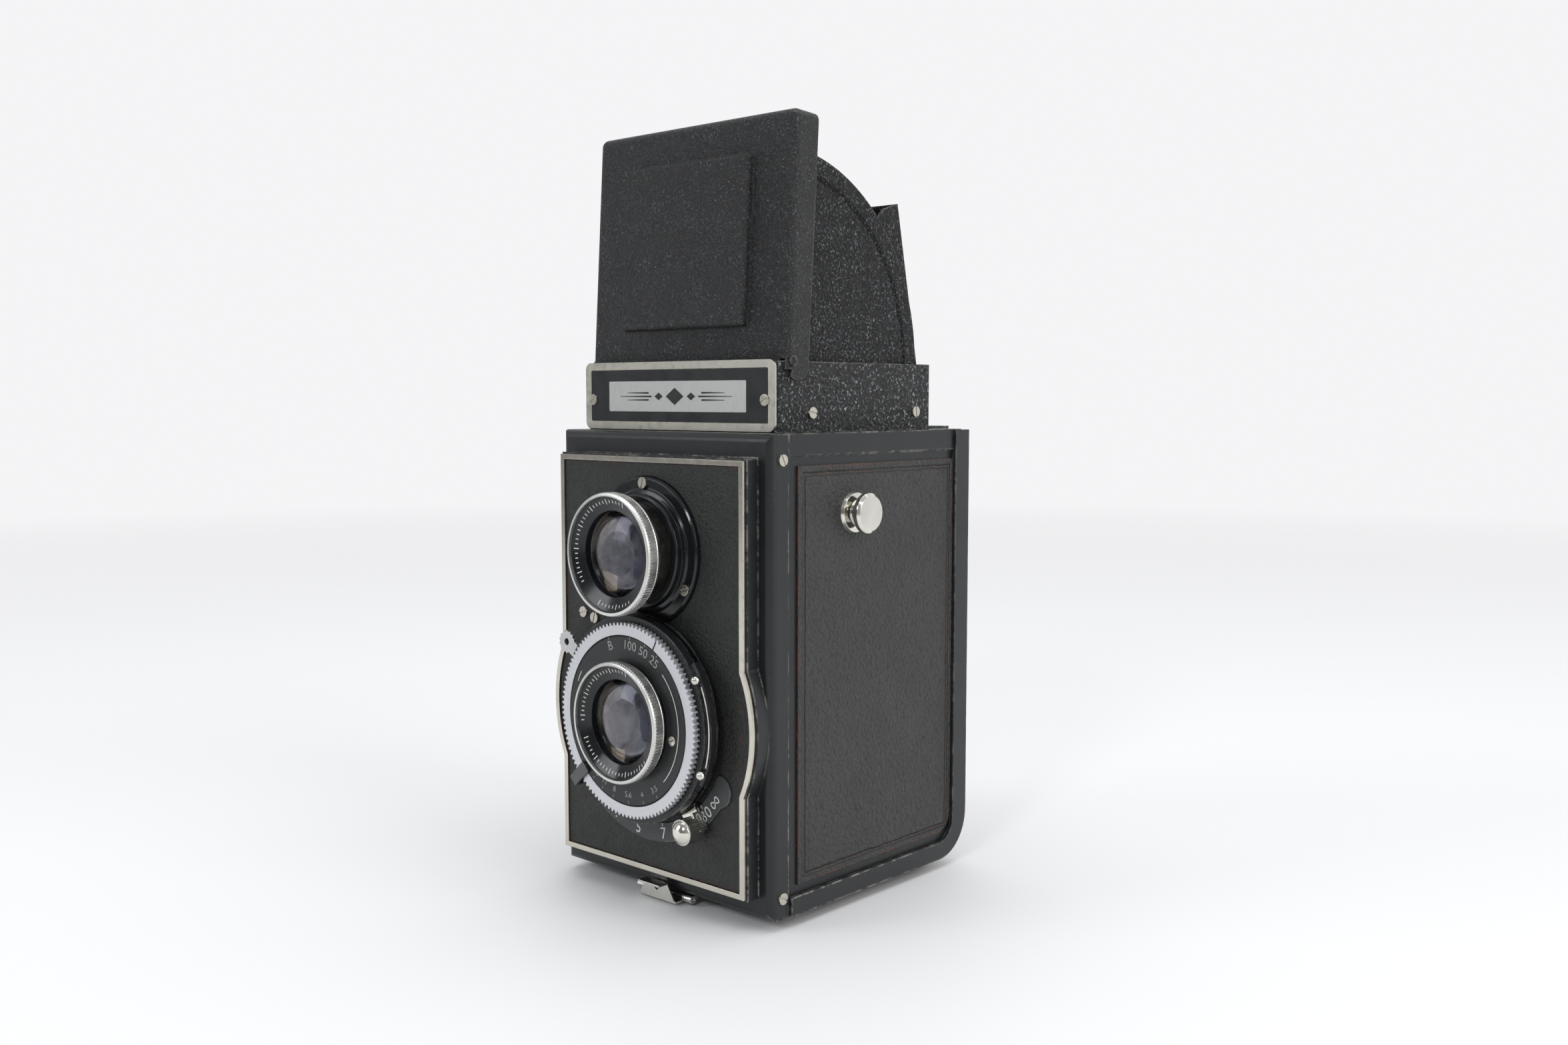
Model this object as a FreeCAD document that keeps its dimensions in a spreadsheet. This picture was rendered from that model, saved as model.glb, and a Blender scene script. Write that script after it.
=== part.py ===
import FreeCAD
import Part
import math
import os
import re
import Sketcher
from FreeCAD import Placement, Rotation, Vector

# Twin lens reflex camera for 6 x 6 cm frames on 120 film, in millimetres.
# +X is the camera's right side as seen from the front, +Y points to the back, +Z is up.
# The origin is the mouth of the tripod socket, on the plane that the feet stand on.

DIMENSIONS = {
    # body
    "body_half": 40.0,
    "front_face": -40.0,
    "back_face": 42.7,
    "foot_height": 3.0,
    "body_top": 126.4,
    "cap_depth": 6.4,
    "wall": 1.5,
    "side_recess": 0.6,
    "edge_round": 2.2,
    "corner_round": 12.5,
    "lip_depth": 6.4,
    "lip_rise": 5.0,
    "lip_proud": 0.8,
    "gap": 0.2,
    "running": 0.05,
    # front platform and its chrome trim
    "platform_half": 35.4,
    "platform_low": 8.4,
    "platform_high": 120.3,
    "platform_rise": 3.9,
    "bulge_radius": 38.9,
    "trim_inset": 0.5,
    "trim_width": 1.4,
    "trim_rise": 1.1,
    "leather": 0.6,
    # the two lenses
    "taking_height": 51.1,
    "lens_spacing": 44.1,
    "rim_radius": 16.0,
    "tube_radius": 13.0,
    "flange_radius": 19.5,
    "sleeve_radius": 24.5,
    "barrel_radius": 16.9,
    "drum_radius": 27.5,
    "dial_radius": 25.85,
    "face_radius": 22.5,
    "lens_radius": 11.2,
    "gear_thick": 2.4,
    "gear_teeth": 58,
    "knob_orbit": 32.7,
    "scale_radius": 33.5,
    # hood
    "hood_half": 36.1,
    "hood_front": -33.8,
    "hood_rear": 30.35,
    "hood_rise": 18.1,
    "sheet": 0.9,
    "pivot_back": -29.0,
    "pivot_height": 144.5,
    "pin_radius": 0.7,
    "lid_half": 37.1,
    "lid_reach": 63.0,
    "lid_depth": 8.7,
    "lid_face": 2.5,
    "lid_lean": 3.5,
    "sector_radius": 53.5,
    "leaf_back": 27.3,
    "leaf_height": 139.0,
    "leaf_reach": 50.0,
    "leaf_lean": 11.7,
    # film transport
    "spool_radius": 12.6,
    "spool_half": 32.8,
    "take_up_back": 26.0,
    "take_up_height": 98.0,
    "feed_back": -15.0,
    "feed_height": 17.4,
    "gate_back": 25.0,
    "frame_half": 28.0,
    # back hinge and latch
    "hinge_back": 44.6,
    "hinge_height": 125.2,
    "latch_back": -38.9,
    "latch_height": 1.9,
    "socket_radius": 3.175,
    "socket_depth": 6.5,
}

document = FreeCAD.newDocument("TwinLensCamera")
sheet = document.addObject("Spreadsheet::Sheet", "Dims")
for row, (alias, size) in enumerate(DIMENSIONS.items(), start=1):
    sheet.set(f"A{row}", alias)
    sheet.set(f"B{row}", str(size))
    sheet.setAlias(f"B{row}", alias)
document.recompute()

# Places used by many parts, written with the spreadsheet's own names.
VIEWING = "taking_height + lens_spacing"
PANEL = "front_face - platform_rise"
CAP_REAR = "front_face + cap_depth"
SIDE = "body_half - side_recess"
INSIDE = "body_half - side_recess - wall"
HOOD_TOP = "body_top + hood_rise"

nodes = []
screws = []


def size_of(alias):
    return float(sheet.get(alias))


def bind(thing, prop, text):
    """Bind a property to an expression written with the spreadsheet's aliases."""
    thing.setExpression(prop, re.sub(r"[a-z][a-z_]{2,}", lambda word: "Dims." + word.group(0), str(text)))


def node(label, thing):
    """Name a finished sub-part; its label is also its file name."""
    thing.Label = label
    nodes.append(thing)
    return thing


# ---- primitives and booleans -------------------------------------------------------------


def block(x, y, z):
    """A box between pairs of limits."""
    piece = document.addObject("Part::Box", "Block")
    for side, axis, (low, high) in zip(("Length", "Width", "Height"), "xyz", (x, y, z)):
        bind(piece, side, f"({high}) - ({low})")
        bind(piece, f"Placement.Base.{axis}", low)
    return piece


def rod(axis, radius, low, high, at=("0", "0")):
    """A cylinder along an axis, placed by its other two coordinates."""
    piece = document.addObject("Part::Cylinder", "Rod")
    bind(piece, "Radius", radius)
    bind(piece, "Height", f"({high}) - ({low})")
    turns = {"x": Rotation(Vector(0, 1, 0), 90), "y": Rotation(Vector(1, 0, 0), -90), "z": Rotation()}
    piece.Placement = Placement(Vector(), turns[axis])
    bind(piece, f"Placement.Base.{axis}", low)
    for other, place in zip([name for name in "xyz" if name != axis], at):
        bind(piece, f"Placement.Base.{other}", place)
    return piece


def ball(radius, x, y, z):
    piece = document.addObject("Part::Sphere", "Ball")
    bind(piece, "Radius", radius)
    for axis, place in zip("xyz", (x, y, z)):
        bind(piece, f"Placement.Base.{axis}", place)
    return piece


def join(*pieces):
    result = document.addObject("Part::MultiFuse", "Join")
    result.Shapes = list(pieces)
    return result


def group(*pieces):
    """Separate solids kept in one node."""
    result = document.addObject("Part::Compound", "Group")
    result.Links = list(pieces)
    return result


def cut(base, *tools):
    result = document.addObject("Part::Cut", "Cut")
    result.Base = base
    result.Tool = tools[0] if len(tools) == 1 else join(*tools)
    return result


def overlap(*pieces):
    result = document.addObject("Part::MultiCommon", "Overlap")
    result.Shapes = list(pieces)
    return result


def place(thing, x="0", y="0", z="0", axis=None, angle="0"):
    """Move a piece that was built around the origin to its place, turned about an axis."""
    if axis is not None:
        thing.Placement = Placement(Vector(), Rotation(axis, 1))
        bind(thing, "Placement.Rotation.Angle", angle)
    for name, text in zip("xyz", (x, y, z)):
        bind(thing, f"Placement.Base.{name}", text)
    return thing


def copy_of(thing, x="0", y="0", z="0", axis=None, angle=0):
    """A second solid of the same shape, turned about the origin and then moved."""
    twin = document.addObject("Part::Compound", "Twin")
    twin.Links = [thing]
    return place(twin, x, y, z, axis, angle)


def mirrored(thing):
    """The same solid on the other side of the camera."""
    twin = document.addObject("Part::Mirroring", "Twin")
    twin.Source = thing
    twin.Normal = Vector(1, 0, 0)
    return twin


# ---- sketched bodies ---------------------------------------------------------------------


def new_body(label):
    return document.addObject("PartDesign::Body", label)


def attach(body, role, offset):
    sketch = body.newObject("Sketcher::SketchObject", "Sketch")
    plane = [feature for feature in body.Origin.OriginFeatures if feature.Role == role][0]
    sketch.AttachmentSupport = [(plane, "")]
    sketch.MapMode = "FlatFace"
    if offset is not None:
        bind(sketch, "AttachmentOffset.Base.z", offset)
    return sketch


def outline(body, role, points, offset=None):
    """A closed sketch of straight lines whose corners are bound to expressions."""
    sketch = attach(body, role, offset)
    count = len(points)
    turns = [math.tau * i / count for i in range(count)]
    start = [Vector(math.cos(turn), math.sin(turn), 0) * 10 for turn in turns]
    for i in range(count):
        sketch.addGeometry(Part.LineSegment(start[i], start[(i + 1) % count]), False)
    for i in range(count):
        sketch.addConstraint(Sketcher.Constraint("Coincident", i, 2, (i + 1) % count, 1))
    for i, corner in enumerate(points):
        for kind, value, text in zip(("DistanceX", "DistanceY"), start[i], corner):
            index = sketch.addConstraint(Sketcher.Constraint(kind, -1, 1, i, 1, value))
            bind(sketch, f"Constraints[{index}]", text)
    return sketch


def round_sketch(body, role, centre, radius, offset=None):
    """A sketch of one circle."""
    sketch = attach(body, role, offset)
    sketch.addGeometry(Part.Circle(Vector(1, 1, 0), Vector(0, 0, 1), 5), False)
    for kind, text in zip(("DistanceX", "DistanceY"), centre):
        index = sketch.addConstraint(Sketcher.Constraint(kind, -1, 1, 0, 3, 1))
        bind(sketch, f"Constraints[{index}]", text)
    index = sketch.addConstraint(Sketcher.Constraint("Radius", 0, 5))
    bind(sketch, f"Constraints[{index}]", radius)
    return sketch


def rectangle(low, high):
    """Corners of a rectangle from its lowest and highest corner."""
    return [(low[0], low[1]), (high[0], low[1]), (high[0], high[1]), (low[0], high[1])]


def extrude(body, kind, role, shape, low, high):
    """Pad or pocket a shape between two places along the plane's axis.

    The XZ plane's normal points to -Y, so there the offset is measured from the far side.
    """
    offset = f"-({high})" if role == "XZ_Plane" else low
    if len(shape) == 2:
        sketch = round_sketch(body, role, shape[0], shape[1], offset)
    else:
        sketch = outline(body, role, shape, offset)
    feature = body.newObject(kind, "Feature")
    feature.Profile = sketch
    bind(feature, "Length", f"({high}) - ({low})")
    if kind == "PartDesign::Pocket":
        feature.Reversed = True
    before = 0.0 if body.Shape.isNull() else body.Shape.Volume
    document.recompute()
    grew = body.Shape.Volume > before
    if grew != (kind == "PartDesign::Pad"):
        raise RuntimeError(f"{body.Label}: {feature.Name} went the wrong way")
    return feature


def add(body, role, shape, low, high):
    return extrude(body, "PartDesign::Pad", role, shape, low, high)


def remove(body, role, shape, low, high):
    return extrude(body, "PartDesign::Pocket", role, shape, low, high)


def round_edges(body, radius, chosen):
    """Fillet the edges whose middle point and direction pass a test."""
    names = []
    for number, edge in enumerate(body.Shape.Edges, start=1):
        middle = edge.valueAt((edge.FirstParameter + edge.LastParameter) / 2)
        along = edge.Vertexes[-1].Point - edge.Vertexes[0].Point
        if along.Length > 0:
            along.normalize()
        if chosen(middle, along):
            names.append(f"Edge{number}")
    fillet = body.newObject("PartDesign::Fillet", "Fillet")
    fillet.Base = (body.Tip if body.Tip != fillet else fillet.BaseFeature, names)
    bind(fillet, "Radius", radius)
    document.recompute()
    if "Invalid" in fillet.State:
        raise RuntimeError(f"{body.Label}: {names} can't be rounded by {radius}")
    return fillet


def lathe(label, axis, profile):
    """A body turned about X, Y or Z from a profile of (place along the axis, radius) corners."""
    body = new_body(label)
    if axis == "y":
        sketch = outline(body, "YZ_Plane", profile)
    elif axis == "x":
        sketch = outline(body, "XZ_Plane", profile)
    else:
        sketch = outline(body, "XZ_Plane", [(radius, along) for along, radius in profile])
    turned = body.newObject("PartDesign::Revolution", "Turned")
    turned.Profile = sketch
    turned.ReferenceAxis = (sketch, ["V_Axis" if axis == "z" else "H_Axis"])
    turned.Angle = 360
    return body


def tube(low, high, outer, inner):
    """The profile of a plain ring."""
    return [(low, inner), (high, inner), (high, outer), (low, outer)]


def toothed_ring(label, teeth, tip, root, bore, low, high, phase=0.0, land=0.25):
    """A ring with straight teeth about the Y axis; its sizes come from the sheet as numbers."""
    corners = []
    pitch = math.tau / teeth
    for tooth in range(teeth):
        middle = tooth * pitch + phase
        half = land / 2
        for share, radius in ((-0.5 + half, root), (-half, tip), (half, tip), (0.5 - half, root)):
            angle = middle + share * pitch
            corners.append(Vector(radius * math.cos(angle), low, radius * math.sin(angle)))
    corners.append(corners[0])
    outer = Part.Face(Part.makePolygon(corners)).extrude(Vector(0, high - low, 0))
    hole = Part.makeCylinder(bore, high - low + 2, Vector(0, low - 1, 0), Vector(0, 1, 0))
    ring = document.addObject("Part::Feature", label)
    ring.Shape = outer.cut(hole)
    return ring


def slotted_screw(radius="1.5", head="0.7"):
    """A cheese head with a slot, standing on z = 0 with +Z out of the surface."""
    crown = rod("z", radius, "-0.6", head)
    slot_depth = (f"({head}) - 0.35", f"({head}) + 1")
    slot = block((f"-({radius}) - 1", f"({radius}) + 1"), ("-0.2", "0.2"), slot_depth)
    return cut(crown, slot)


def drive_screws(places):
    """Add equal slotted screws; each place is x, y, z, what it faces and the turn of its slot."""
    for x, y, z, facing, spin in places:
        screw = copy_of(slotted_screw(), axis=Vector(0, 0, 1), angle=spin)
        screws.append(copy_of(screw, x, y, z, *facing))


FACE_FRONT = (Vector(1, 0, 0), 90)
FACE_RIGHT = (Vector(0, 1, 0), 90)
FACE_LEFT = (Vector(0, 1, 0), -90)


# ---- body castings -----------------------------------------------------------------------


def front_casting():
    """Front cap with the raised platform that carries both lenses."""
    body = new_body("front_panel")
    cap = rectangle(("-body_half", "foot_height"), ("body_half", "body_top"))
    add(body, "XZ_Plane", cap, "front_face", CAP_REAR)
    front = size_of("front_face")
    round_edges(body, "edge_round", lambda middle, along: abs(middle.y - front) < 0.01)
    platform = rectangle(("-platform_half", "platform_low"), ("platform_half", "platform_high"))
    add(body, "XZ_Plane", platform, PANEL, "front_face + wall")
    add(body, "XZ_Plane", (("0", "taking_height"), "bulge_radius"), PANEL, "front_face + wall")
    hollow = rectangle(
        ("-body_half + wall", "foot_height + wall"),
        ("body_half - wall", "body_top - wall"),
    )
    remove(body, "XZ_Plane", hollow, "front_face + wall + 0.1", CAP_REAR)
    catch = rectangle(("-3.2", "6.2"), ("3.2", "7.4"))
    add(body, "XZ_Plane", catch, "front_face - 1.5", "front_face + 0.3")
    sleeve_bore = (("0", "taking_height"), "sleeve_radius + running")
    remove(body, "XZ_Plane", sleeve_bore, f"{PANEL} - 1", "front_face + 3")
    remove(body, "XZ_Plane", (("0", VIEWING), "tube_radius + 1"), f"{PANEL} - 1", "front_face + 3")
    return node("front_panel", body)


def framed_outline(inset, low, high):
    """The platform's outline, a rectangle with a round bulge about the taking lens, as a solid."""
    plate = block(
        (f"-platform_half + {inset}", f"platform_half - ({inset})"),
        (low, high),
        (f"platform_low + {inset}", f"platform_high - ({inset})"),
    )
    return join(plate, rod("y", f"bulge_radius - ({inset})", low, high, ("0", "taking_height")))


def front_dress():
    """Chrome trim round the platform and the leatherette that it frames."""
    low = f"{PANEL} - trim_rise"
    trim = cut(
        framed_outline("trim_inset", low, PANEL),
        framed_outline("trim_inset + trim_width", f"{low} - 1", f"{PANEL} + 1"),
    )
    node("front_trim", trim)
    skin = cut(
        framed_outline("trim_inset + trim_width + 0.05", f"{PANEL} - leather", PANEL),
        rod("y", "sleeve_radius + 1", f"{PANEL} - 2", f"{PANEL} + 1", ("0", "taking_height")),
        rod("y", "flange_radius + 0.1", f"{PANEL} - 2", f"{PANEL} + 1", ("0", VIEWING)),
    )
    node("front_leatherette", skin)


def body_casting():
    """Body shell: two side walls and a top deck, open to the front cap, the back and the bottom."""
    body = new_body("body_shell")
    rear = "back_face - wall - 0.6"
    floor = "foot_height + wall + gap"
    add(body, "YZ_Plane", rectangle((CAP_REAR, floor), (rear, "body_top")), f"-({SIDE})", SIDE)
    back = size_of("back_face") - size_of("wall") - 0.6
    low = size_of("foot_height") + size_of("wall") + size_of("gap")
    round_edges(
        body,
        "corner_round - wall - gap - 0.6",
        lambda middle, along: abs(middle.y - back) < 0.01 and abs(middle.z - low) < 0.01,
    )
    remove(
        body,
        "YZ_Plane",
        rectangle((f"{CAP_REAR} - 1", f"{floor} - 1"), (f"{rear} + 1", "body_top - wall")),
        f"-({INSIDE})",
        INSIDE,
    )
    deck = rectangle(("-hood_half + 1", "hood_front + 1.3"), ("hood_half - 1", "leaf_back - 0.3"))
    remove(body, "XY_Plane", deck, "body_top - wall - 1", "body_top + 1")
    band = rectangle((CAP_REAR, "body_top - 5.7"), ("back_face - lip_depth - gap", "body_top"))
    add(body, "YZ_Plane", band, SIDE, "body_half")
    add(body, "YZ_Plane", band, "-body_half", f"-({SIDE})")
    left, right = ("-body_half - 1", f"-({INSIDE}) + 1"), (f"{INSIDE} - 1", "body_half + 1")
    remove(body, "YZ_Plane", (("take_up_back", "take_up_height"), "3 + running"), *left)
    remove(body, "YZ_Plane", (("feed_back", "feed_height"), "3 + running"), *left)
    remove(body, "YZ_Plane", (("-8", "105.3"), "2"), *left)
    remove(body, "YZ_Plane", (("-8", "105.3"), "2"), *right)
    return node("body_shell", body)


def side_leather():
    """Leatherette panels let into the recessed sides."""
    body = new_body("side_leather_panel")
    panel = rectangle(("-30.1", "10.5"), ("36", "118.2"))
    add(body, "YZ_Plane", panel, SIDE, "body_half")
    round_edges(body, "6", lambda middle, along: abs(middle.y - 36) < 0.01 and abs(middle.z - 10.5) < 0.01)
    remove(body, "YZ_Plane", (("-8", "105.3"), "2.6"), f"{SIDE} - 1", "body_half + 1")
    left = cut(mirrored(body), *[rod("x", "4", "-body_half - 1", "-body_half + 2", at) for at in KNOB_AXES])
    node("side_leatherettes", group(left, body))


def body_copy(body):
    twin = document.addObject("Part::Compound", "Twin")
    twin.Links = [body]
    return twin


KNOB_AXES = (("take_up_back", "take_up_height"), ("feed_back", "feed_height"))


def mirror_box():
    """Inner casting: the mirror chamber above and the taking lens's light box below it."""
    body = new_body("mirror_box")
    half, inner = "33.2", "32"
    shell = [
        ("-33.4", "34"),
        ("-12", "32"),
        ("gate_back", "21"),
        ("gate_back", "81.5"),
        ("12", "84.5"),
        ("10", "98"),
        ("13", "111.5"),
        ("22", "117"),
        ("22", "120.9"),
        ("-33.4", "120.9"),
    ]
    add(body, "YZ_Plane", shell, f"-{half}", half)
    mirror_room = [("-34.4", "73.2"), ("-27", "73.2"), ("19.5", "119.7"), ("19.5", "122"), ("-34.4", "122")]
    remove(body, "YZ_Plane", mirror_room, f"-{inner}", inner)
    light_room = [
        ("-34.4", "35.2"),
        ("-12", "33.3"),
        ("gate_back + 1", "22.1"),
        ("gate_back + 1", "80.1"),
        ("-24", "71.8"),
        ("-34.4", "71.8"),
    ]
    remove(body, "YZ_Plane", light_room, f"-{inner}", inner)
    return node("mirror_box", body)


def viewing_optics():
    """Mirror at 45 degrees, ground glass and its retaining frame."""
    mirror = block(("-29", "29"), ("0", "62"), ("0.05", "1.5"))
    node("reflex_mirror", place(mirror, "-29", "-26.6", "73.6", Vector(1, 0, 0), "45"))
    node("ground_glass", block(("-32.4", "32.4"), ("-33", "21.5"), ("120.95", "122.2")))
    frame = cut(
        block(("-33.2", "33.2"), ("-33.2", "22"), ("122.25", "123.9")),
        block(("-frame_half", "frame_half"), ("-30.5", "19"), ("122", "125")),
    )
    node("screen_frame", frame)


def film_gate():
    """Film gate plate with its rails, and the rollers above and below it."""
    plate = cut(
        block(("-33", "33"), ("gate_back + 0.05", "gate_back + 1.2"), ("20.5", "81.5")),
        block(
            ("-frame_half", "frame_half"),
            ("gate_back - 1", "gate_back + 3"),
            ("taking_height - frame_half", "taking_height + frame_half"),
        ),
    )
    rails = [
        block((low, high), ("gate_back + 1.15", "gate_back + 1.8"), ("20.5", "81.5"))
        for low, high in (("-32.5", "-31"), ("31", "32.5"))
    ]
    rollers = [rod("x", "1.6", "-33", "33", ("gate_back - 0.5", height)) for height in ("18.6", "83.6")]
    node("film_gate", group(join(plate, *rails), *rollers))


def body_hardware():
    """Strap studs, spool bearings and the screws of body, hood base and nameplate."""
    profile = [
        ("body_half - 2.5", "0"),
        ("body_half - 2.5", "2"),
        ("body_half", "2"),
        ("body_half", "5.6"),
        ("body_half + 1", "5.2"),
        ("body_half + 1.4", "3.4"),
        ("body_half + 3.6", "3.2"),
        ("body_half + 4.1", "5.4"),
        ("body_half + 5.2", "5.3"),
        ("body_half + 5.8", "4.6"),
        ("body_half + 6", "0"),
    ]
    stud = lathe("strap_stud", "x", profile)
    stud = place(stud, "0", "-8", "105.3")
    node("strap_studs", group(stud, mirrored(stud)))
    pins = []
    for back, height in KNOB_AXES:
        flange = rod("x", "5", f"{INSIDE} - 1", INSIDE, (back, height))
        pin = rod("x", "2.4", "spool_half - 1.6", f"{INSIDE} - 0.5", (back, height))
        pins.append(join(flange, pin))
    spring = cut(
        rod("x", "4.3", f"-({INSIDE}) + 0.3", f"-({INSIDE}) + 3.1", KNOB_AXES[0]),
        rod("x", "3.1", "-body_half", "-30", KNOB_AXES[0]),
    )
    node("spool_bearings", group(*pins, spring))
    places = []
    for x, facing in (("body_half", FACE_RIGHT), ("-body_half", FACE_LEFT)):
        places.append((x, "front_face + 3.8", "119.8", facing, "28"))
        places.append((x, "front_face + 3.8", "8.5", facing, "64"))
    for x, facing in (("hood_half", FACE_RIGHT), ("-hood_half", FACE_LEFT)):
        places.append((x, "-20.6", "131.4", facing, "80"))
        places.append((x, "23", "131.4", facing, "8"))
    places.append(("-26", f"{PANEL} - leather", "76.5", FACE_FRONT, "20"))
    places.append(("-21.4", f"{PANEL} - leather", "75.3", FACE_FRONT, "75"))
    drive_screws(places)


# ---- hood --------------------------------------------------------------------------------


def hood_base():
    """Low frame on the body's deck, with ears for the lid's pins."""
    body = new_body("hood_base")
    add(
        body,
        "XY_Plane",
        rectangle(("-hood_half", "hood_front"), ("hood_half", "hood_rear")),
        "body_top",
        HOOD_TOP,
    )
    round_edges(body, "1.2", lambda middle, along: abs(along.z) > 0.9)
    inner = rectangle(("-hood_half + 1", "hood_front + 1"), ("hood_half - 1", "hood_rear - 1"))
    remove(body, "XY_Plane", inner, "body_top - 1", f"{HOOD_TOP} + 1")
    ear_centre = ("pivot_back", "pivot_height")
    for low, high in (("-hood_half", "-hood_half + 1"), ("hood_half - 1", "hood_half")):
        add(body, "YZ_Plane", (ear_centre, "1.4"), low, high)
    remove(body, "YZ_Plane", (ear_centre, "pin_radius + running"), "-hood_half - 1", "hood_half + 1")
    return node("hood_base", body)


def nameplate():
    """Plain plate on the hood base: nickel rim, dark band and a raised blank centre."""
    face = "hood_front - 0.8"
    body = new_body("nameplate")
    plate = rectangle(("-hood_half", "body_top + 0.2"), ("hood_half", f"{HOOD_TOP} + 0.4"))
    add(body, "XZ_Plane", plate, face, "hood_front")
    round_edges(body, "2", lambda middle, along: abs(along.y) > 0.9)
    band = rectangle(("-hood_half + 2.2", "body_top + 2.4"), ("hood_half - 2.2", f"{HOOD_TOP} - 1.6"))
    remove(body, "XZ_Plane", band, f"{face} - 1", f"{face} + 0.35")
    centre = rectangle(("-26.2", "body_top + 5.1"), ("26.2", f"{HOOD_TOP} - 4.8"))
    add(body, "XZ_Plane", centre, f"{face} + 0.05", f"{face} + 0.4")
    node("nameplate", body)
    ends = (("-32.8", "38"), ("32.8", "24"))
    drive_screws((x, f"{face} + 0.35", "134.7", FACE_FRONT, spin) for x, spin in ends)


def hood_lid():
    """Lid, built upright with its pivot at the origin and then leaned back about it."""
    body = new_body("hood_lid")
    outer = rectangle(("-lid_half", "-2.2"), ("lid_half", "lid_reach"))
    add(body, "XZ_Plane", outer, "-lid_face", "lid_depth - lid_face")
    face, half, top = -size_of("lid_face"), size_of("lid_half"), size_of("lid_reach")

    def outer_edge(middle, along):
        on_face = abs(middle.y - face) < 0.01 and middle.z > -2
        on_corner = abs(abs(middle.x) - half) < 0.01 and abs(middle.z - top) < 0.01
        return on_face or on_corner

    round_edges(body, "edge_round", outer_edge)
    inner = rectangle(("-lid_half + 0.8", "-4"), ("lid_half - 0.8", "lid_reach - 0.8"))
    remove(body, "XZ_Plane", inner, "-lid_face + sheet", "lid_depth + 1")
    for low, high in (("-lid_half", "-lid_half + 0.8"), ("lid_half - 0.8", "lid_half")):
        ear = [
            ("-lid_face + 2.4", "0"),
            ("-lid_face + 2.4", "-2.4"),
            ("-0.4", "-4"),
            ("2", "-4.9"),
            ("4.4", "-4.2"),
            ("lid_depth - lid_face", "-2.2"),
            ("lid_depth - lid_face", "0"),
        ]
        add(body, "YZ_Plane", ear, low, high)
    raised = rectangle(("-23.4", "8.8"), ("23.4", "52.9"))
    add(body, "XZ_Plane", raised, "-lid_face - 1.9", "-lid_face + 0.2")
    rim = face - 1.9

    def panel_edge(middle, along):
        return abs(middle.y - rim) < 0.01 or (abs(along.y) > 0.9 and middle.y < face - 0.3)

    def panel_foot(middle, along):
        return abs(middle.y - face) < 0.01 and abs(middle.x) < 24 and 8 < middle.z < 53.5

    round_edges(body, "1.1", panel_edge)
    round_edges(body, "0.7", panel_foot)
    remove(body, "YZ_Plane", (("0", "0"), "pin_radius + running"), "-lid_half - 1", "lid_half + 1")
    for low, high in (("-lid_half + 0.8", "-hood_half + 1.3"), ("hood_half - 1.3", "lid_half - 0.8")):
        beside_ear = rectangle((low, "-3"), (high, "0.5"))
        remove(body, "XZ_Plane", beside_ear, "-lid_face - 1", "-lid_face + sheet + 0.5")
    place(body, "0", "pivot_back", "pivot_height", Vector(1, 0, 0), "-lid_lean")
    return node("hood_lid", body)


def hood_sides():
    """Quarter-round side walls riveted inside the lid; their arc is centred on the lid's pivot."""
    walls = []
    for low, high in (("-hood_half + 1.2", "-hood_half + 2"), ("hood_half - 2", "hood_half - 1.2")):
        disc = rod("x", "sector_radius", low, high)
        corner = block(("-hood_half", "hood_half"), ("-lid_face + sheet + 0.05", "60"), ("-2.5", "60"))
        hole = rod("x", "pin_radius + running", "-hood_half", "hood_half")
        walls.append(cut(overlap(disc, corner), hole))
    for low, high in (("-hood_half + 1.9", "-hood_half + 7"), ("hood_half - 7", "hood_half - 1.9")):
        flange = block((low, high), ("-lid_face + sheet + 0.05", "-lid_face + sheet + 0.7"), ("4", "50"))
        walls.append(flange)
    both = group(join(walls[0], walls[2]), join(walls[1], walls[3]))
    place(both, "0", "pivot_back", "pivot_height", Vector(1, 0, 0), "-lid_lean")
    node("hood_side_walls", both)
    pins = []
    pivot = ("pivot_back", "pivot_height")
    right = (("33.6", "lid_half + 0.2"), ("lid_half + 0.05", "lid_half + 0.5"))
    left = (("-lid_half - 0.2", "-33.6"), ("-lid_half - 0.5", "-lid_half - 0.05"))
    for shank_ends, cap_ends in (right, left):
        shank = rod("x", "pin_radius", *shank_ends, pivot)
        cap = rod("x", "1.4", *cap_ends, pivot)
        pins.append(join(shank, cap))
    node("hood_hinge_pins", group(*pins))


def hood_leaf():
    """Rear leaf with two wings inside the side walls, leaning forward about its own rod."""
    half = "hood_half - 2.2"
    body = new_body("rear_leaf_sheet")
    add(body, "XZ_Plane", rectangle((f"-({half})", "1"), (half, "leaf_reach")), "-0.4", "0.4")
    wing = [
        ("0.2", "3"),
        ("0.2", "leaf_reach"),
        ("-6", "leaf_reach - 0.7"),
        ("-11.3", "leaf_reach - 4.6"),
        ("-11.3", "3"),
    ]
    add(body, "YZ_Plane", wing, f"-({half})", f"-({half}) + 0.8")
    add(body, "YZ_Plane", wing, f"{half} - 0.8", half)
    remove(body, "XZ_Plane", rectangle(("-18", "leaf_reach - 2"), ("18", "leaf_reach + 1")), "-1", "1")
    add(body, "YZ_Plane", (("0", "0"), "1.6"), "-33", "33")
    remove(body, "YZ_Plane", (("0", "0"), "0.8 + running"), "-35", "35")
    leaf = group(body, rod("x", "0.8", "-hood_half + 1.1", "hood_half - 1.1"))
    node("hood_rear_leaf", place(leaf, "0", "leaf_back", "leaf_height", Vector(1, 0, 0), "leaf_lean"))


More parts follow.
